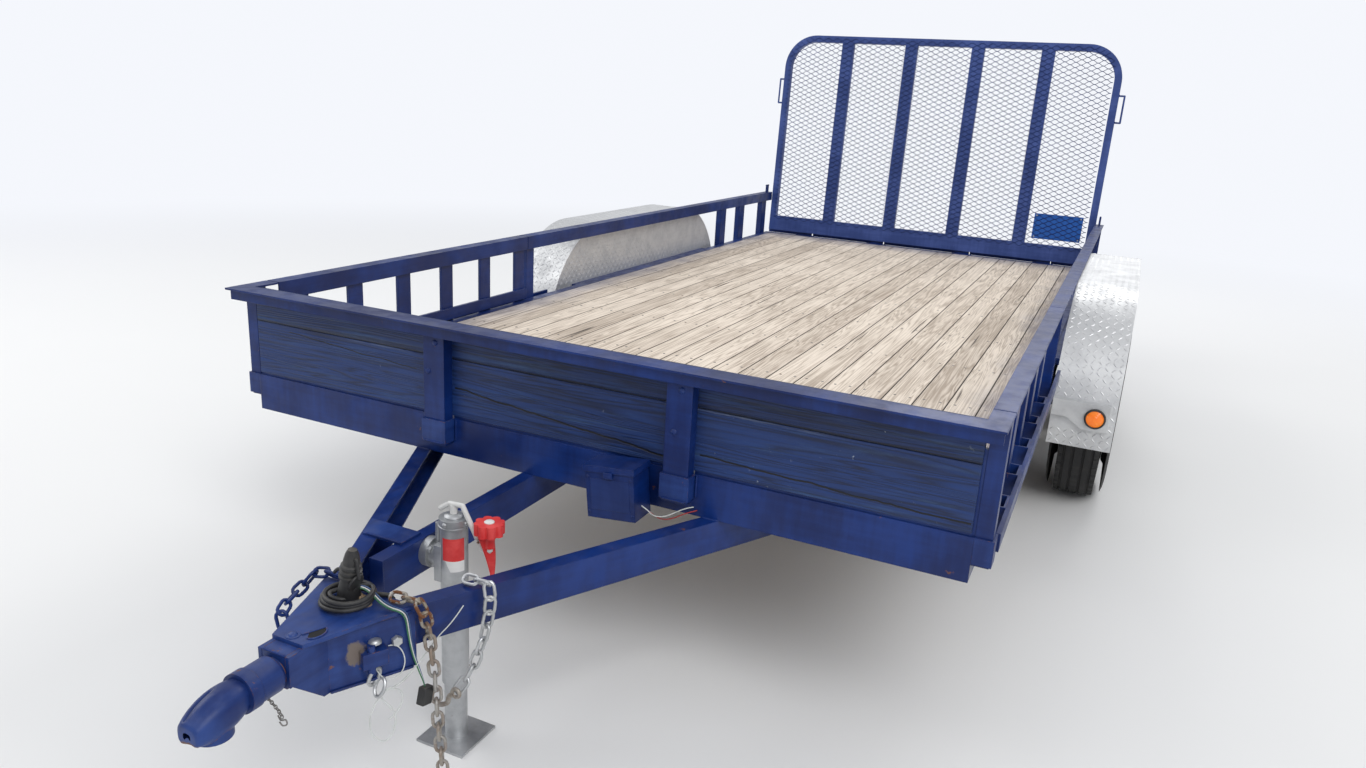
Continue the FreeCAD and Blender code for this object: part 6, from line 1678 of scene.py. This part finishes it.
    def build(self) -> None:
        """Make the tyre, the rim and its nuts, and let them turn with their wheel."""
        body = f"wheel_{self.name}_{self.side.word}"
        for part, form, slot, replaces, smooth in (
            ("tread", self.tyre(), "tyre", (f"{body}_tyre",), 35.0),
            ("barrel", self.barrel(), "rim_white", (f"{body}_rim",), 50.0),
            ("disc", self.disc(), "rim_white", (), 60.0),
            ("nuts", self.hub(), "zinc", (), 40.0),
        ):
            form = form.mirrored(self.side.value).shifted(*self.place)
            piece = make_piece(f"{body}_{part}", form, slot, body, replaces, smooth_angle=smooth)
            if part == "disc":
                wall = piece.modifiers.new("wall", "SOLIDIFY")
                wall.thickness, wall.offset = 0.004, -1.0


@dataclass(frozen=True)
class Gate:
    """Expanded mesh over the gate's frame, with welds, rivets and a lip."""

    hinge: Triple = (0.0, 5.057, 0.138)
    lean: float = 3.4
    half: float = 0.965
    low: float = 0.026
    height: float = 1.19
    tube: float = 0.038
    corner: float = 0.19
    long: float = 0.057
    short: float = 0.028

    def stood(self, surface: Surface) -> Surface:
        """Lean a surface back about the hinge line and set it at the hinges."""
        return surface.turned(turned_about("X", -self.lean), np.array([self.hinge]))

    def mesh(self) -> Surface:
        """Expanded mesh: each strand zigzags between its neighbours with short flats where they join.

        A strand's height is its row's height plus or minus a quarter of the diamond, with the sign
        turned from row to row, and its section is a flat bar that tilts with the slope.

        Returns:
            The strands as one surface.
        """
        top = self.low + self.height - self.tube / 2
        bottom = self.low + 0.09 - 0.02
        rows = np.arange(bottom + self.short / 4, top, self.short / 2)
        flat = 0.16
        step = np.array([0.0, flat, 0.5, 0.5 + flat])
        wave = np.array([1.0, 1.0, -1.0, -1.0])
        inset = self.tube / 2
        count = int(2 * (self.half - inset) / self.long)
        start = -count * self.long / 2
        marks = (np.arange(count)[:, None] + step[None, :]).ravel() * self.long + start
        high = np.tile(wave, count)
        sign = np.where(np.arange(len(rows)) % 2 == 0, 1.0, -1.0)
        z = rows[:, None] + sign[:, None] * high[None, :] * (self.short / 4 - 0.0004)
        x = np.broadcast_to(marks, z.shape)
        place = -self.tube / 2 - 0.0016
        wide, thick = 0.0018, 0.0011
        twist = 0.0007 * np.where(high > 0, 1.0, -1.0) * sign[:, None]
        section = np.array([(-1.0, 0.0), (0.0, -1.0), (1.0, 0.0), (0.0, 1.0)])
        points = beside(
            x[..., None], place + thick * section[:, 1] + twist[..., None] * section[:, 0],
            z[..., None] + wide * section[:, 0],
        )
        quads = grid_quads(len(marks), 4, wrap_columns=True)
        base = (np.arange(len(rows)) * len(marks) * 4)[:, None, None]
        quads = (quads[None] + base).reshape(-1, 4)
        points = points.reshape(-1, 3)
        centre = points[quads].mean(axis=1)
        side_z = self.low + self.height - self.corner
        over = np.clip(centre[:, 2] - side_z, 0, None)
        beyond = np.clip(np.abs(centre[:, 0]) - (self.half - self.corner), 0, None)
        keep = (np.hypot(over, beyond) < self.corner - inset + 0.004) | (over == 0)
        keep &= np.abs(centre[:, 0]) < self.half - inset + 0.006
        return Surface(points, quads[keep])

    def build(self) -> None:
        """Make the mesh, the welds, the plate's rivets and the lip along the hinges."""
        make_piece("gate_expanded_mesh", self.stood(self.mesh()), "blue_paint", GATE_BODY, ("gate_mesh",),
                   smooth_angle=20.0, finish="gate_blue")
        welds = []
        for number in range(4):
            middle = -0.007 + 0.382 * (number - 1.5)
            for hand in HANDS:
                x = middle + hand * 0.0355
                for z in (self.low + 0.09, self.low + self.height - self.tube):
                    welds.append(weld((x, -0.008, z), (x, 0.008, z), 0.003))
        for hand in HANDS:
            x = hand * 0.9655
            for z in (0.812 + 0.005, 0.954 + 0.005):
                welds.append(weld((x, -0.005, z), (x, 0.005, z), 0.003))
        for middle in (-0.72, -0.26, 0.26, 0.72):
            left, right = middle - 0.038, middle + 0.038
            welds.append(weld((left, -0.0062, self.low), (right, -0.0062, self.low), 0.003))
        make_piece("gate_welds", self.stood(joined(*welds)), "blue_paint", GATE_BODY)
        caps = placed(dome(0.0052, 0.003), [
            (x, -0.0191, z) for x in (0.647, 0.885) for z in (0.158, 0.277)
        ], (0, -1, 0))
        make_piece("gate_plate_rivets", self.stood(caps), "blue_paint", GATE_BODY, finish="zinc")
        lip = [block((low, 5.0765, 0.1445), (high, 5.0795, 0.164)) for low, high in (
            (-0.976, -0.762), (-0.678, -0.302), (-0.218, 0.218), (0.302, 0.678), (0.762, 0.976),
        )]
        make_piece("gate_lip", joined(*lip), "blue_paint", GATE_BODY, finish="gate_blue")


@dataclass(frozen=True)
class Body:
    """Fasteners and weld beads of the frame, headboard, rails and deck."""

    front: float = 0.982
    rear: float = 5.015
    half: float = 0.972
    top: float = 0.152
    pitch: float = 0.447
    planks: int = 21

    def upright_places(self) -> list[tuple[float, float]]:
        """Hand and place along Y of each rail upright: six on the left and five on the right."""
        rows = ((-1.0, 0.162, 6), (1.0, 0.232, 5))
        return [(hand, self.front + first + 0.2195 * i) for hand, first, count in rows for i in range(count)]

    def deck_screws(self) -> None:
        """Drive two screws through each board into each crossmember."""
        low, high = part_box("deck_planks")
        board = (high.x - low.x + 0.0015) / self.planks
        middle = low.x + board * (np.arange(self.planks) + 0.5) - 0.00075
        x = (middle[:, None] + np.array([-0.024, 0.024])[None, :]).ravel()
        y = self.front + self.pitch * np.arange(1, 9)
        y = np.concatenate([[self.front + 0.028], y[y < self.rear - 0.2], [self.rear - 0.028]])
        grid_x, grid_y = np.meshgrid(x, y)
        shake = np.random.default_rng(7).normal(0.0, 0.003, (2, grid_x.size))
        places = beside(grid_x.ravel() + shake[0], grid_y.ravel() + shake[1], high.z)
        head = lathe([(0.0042, -0.0004), (0.0042, 0.0005), (0.003, 0.0008), (0.0, 0.0002)], 8)
        make_piece("deck_screws", placed(head, places, (0, 0, 1)), "zinc", finish="dark_chain")

    def headboard_bolts(self) -> None:
        """Set bolt heads on the stakes and nuts behind the boards, and close the gaps under and beside the
        boards with dark blue strips that paint the shade in those gaps.
        """
        stake_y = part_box("headboard_stakes")[0].y
        spots = ((-0.357, 0.275), (0.317, 0.252), (-0.335, 0.35), (0.331, 0.35))
        heads = [(x, stake_y, z) for x, z in spots]
        domes = placed(dome(0.0078, 0.0042, 14), heads, (0, -1, 0))
        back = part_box("headboard_boards")[1].y
        nuts = placed(hex_head(0.009, 0.008), [(x, back, z) for x, z in spots], (0, 1, 0))
        washer = lathe([(0.014, -0.0005), (0.014, 0.0018), (0.0, 0.0018)], 16)
        washers = placed(washer, [(x, back, z) for x, z in spots], (0, 1, 0))
        ends = [(hand * 0.955, back, z) for hand in (-1, 1) for z in (0.2, 0.275, 0.35)]
        screws = placed(dome(0.006, 0.003), ends, (0, 1, 0))
        make_piece("headboard_bolts", joined(domes, nuts, washers, screws), "zinc", finish="worn_blue")
        # Strips over the gap under the boards and the gaps at their ends: painted shade where the floor
        # would show through
        strips = [block((low, 0.9865, 0.1515), (high, 0.9985, 0.1605)) for low, high in (
            (-0.966, -0.372), (-0.308, 0.294), (0.358, 0.966),
        )]
        strips.append(block((0.9645, 0.9885, 0.152), (0.9722, 0.9985, 0.338)))
        strips.append(block((-0.9722, 0.9885, 0.152), (-0.9645, 0.9985, 0.393)))
        make_piece("headboard_shade_strips", joined(*strips), "blue_paint", finish="gate_blue")

    def welds(self) -> None:
        """Run weld beads where the steel pieces meet."""
        beads = []
        under = self.top - 0.1
        for hand in HANDS:
            y = self.front - 0.0005
            beads.append(weld((hand * 0.424, y, under), (hand * (0.424 - 0.04), y, under)))
            x = hand * (self.half - 0.0005)
            for y in (1.03, 1.06):
                beads.append(weld((x, y, 0.098), (x, y, 0.15), 0.0026))
            for z in (0.051, -0.0615):
                beads.append(weld((hand * 0.0355, 0.204, z), (hand * 0.1045, 0.338, z), 0.0028))
        y, z = self.front - 0.0375, 0.0945
        for x in (-0.336, -0.346, 0.322, 0.33):
            beads.append(weld((x - 0.026, y, z), (x + 0.026, y, z), 0.0028))
        y = self.front - 0.0008
        for x in (-0.38, -0.299, 0.286, 0.365):
            beads.append(weld((x, y, 0.096), (x, y, 0.15), 0.003))
        beads.append(weld((-0.026, 0.1235, 0.052), (0.026, 0.1235, 0.052), 0.003))
        beads.append(weld((-0.085, 0.4555, 0.006), (-0.085, 0.4555, 0.048), 0.0028))
        beads.append(weld((-0.082, 0.526, under + 0.0052), (-0.176, 0.526, under + 0.0052), 0.0028))
        for side, middle in self.upright_places():
            for y in (middle - 0.039, middle + 0.039):
                beads.append(weld((side * 0.9725, y, 0.08), (side * 0.9725, y, 0.15), 0.0026))
            x, z = side * 0.9835, 0.3945
            beads.append(weld((x, middle - 0.028, z), (x, middle + 0.028, z), 0.0024))
        for side in HANDS:
            for place, width in ((1.307, 0.05), (3.26, 0.074), (3.544, 0.074), (3.916, 0.074)):
                for y in (self.front + place, self.front + place + width):
                    beads.append(weld((side * 0.9725, y, 0.078), (side * 0.9725, y, 0.15), 0.0026))
                    beads.append(weld((side * 0.9765, y, 0.3945), (side * 0.9995, y, 0.3945), 0.0024))
        make_piece("weld_beads", joined(*beads), "blue_paint")
        plate = block((-0.1005, 0.4525, -0.0245), (-0.0665, 0.4555, 0.0525))
        make_piece("beam_end_plate", plate, "blue_paint")

    def uprights(self) -> None:
        """Stand the flat uprights of the side rails in their pockets."""
        bars = []
        for side, middle in self.upright_places():
            low, high = sorted((side * self.half, side * (self.half + 0.011)))
            bars.append(block((low, middle - 0.03, 0.077), (high, middle + 0.03, 0.395)))
        make_piece("rail_flats", joined(*bars), "blue_paint", replaces=("rail_uprights",), bevel=0.001)

    def running_gear(self) -> None:
        """Clamp each spring to its axle with two bent bolts, a plate and nuts."""
        parts = []
        turn = np.linspace(np.pi, 2 * np.pi, 9)
        for axle in AXLES:
            for hand in HANDS:
                x = hand * (self.half - 0.0185)
                for offset in (-0.03, 0.03):
                    y = axle + offset
                    bow = beside(x + 0.03 * np.cos(turn), y, -0.07 + 0.03 * np.sin(turn))
                    legs = np.array([[x - 0.03, y, 0.014], [x + 0.03, y, 0.014]])
                    line = np.concatenate([legs[:1], bow, legs[1:]])
                    parts.append(tube(line, 0.006, 8, up=(0.0, 1.0, 0.0)))
                    parts.append(placed(hex_head(0.01, 0.009), legs - [0.0, 0.0, 0.009], (0, 0, 1)))
                parts.append(block((x - 0.042, axle - 0.045, -0.002), (x + 0.042, axle + 0.045, 0.0045)))
        make_piece("spring_clamps", joined(*parts), "black_steel")

    def battery_trim(self) -> None:
        """Set the battery box's latch, screws and blank face plate in its own tilted frame."""
        tilt = turned_about("Y", -6.0)
        origin = np.array([[0.142, self.front - 0.092, 0.031]])
        plate = block((0.012, -0.0008, 0.02), (0.11, 0.0004, 0.094))
        latch = block((0.05, -0.0075, 0.098), (0.072, -0.0028, 0.112))
        screws = placed(dome(0.0034, 0.002), [
            (x, -0.0004, z) for x in (0.0065, 0.1155) for z in (0.014, 0.098)
        ], (0, -1, 0))
        face = plate.turned(tilt, origin)
        make_piece("battery_face", face, "blue_paint", bevel=0.0004, finish="faded_blue")
        make_piece("battery_latch", joined(latch, screws).turned(tilt, origin), "blue_paint", bevel=0.0008)

    def build(self) -> None:
        """Make all fasteners and welds."""
        self.deck_screws()
        self.headboard_bolts()
        self.welds()
        self.uprights()
        self.running_gear()
        self.battery_trim()


def main() -> None:
    """Build the finishes, dress the frame's nodes and build every sub-assembly in order."""
    logging.basicConfig(level=logging.INFO, format="%(name)s %(message)s")
    build_groups()
    for finish in FINISH_TABLE:
        finish.build()
    Studio().build()
    for row in frame["record"]["subparts"]:
        mesh = frame["nodes"][row["node"]].data
        mesh.materials.clear()
        mesh.materials.append(FINISHES[NODE_FINISH.get(row["node"], row["material_slot"])])
    Wiring().build()
    for chain in (
        Chain("safety_chain_left", "blue_paint", LEFT_ROUTE),
        Chain("safety_chain_right", "rusty_chain", RIGHT_ROUTE),
        Chain("safety_chain_spare", "galvanised", SPARE_ROUTE),
    ):
        chain.build()
    Coupler().build()
    Drawbar().build()
    Jack().build()
    Lamps().build()
    TreadPlate().build()
    Gate().build()
    Body().build()
    for name, axle in zip(("front", "rear"), AXLES):
        for side in Side:
            Wheel((side.value * 1.116, axle, AXLE_HEIGHT), side, name).build()


if __name__ == "__main__":
    main()
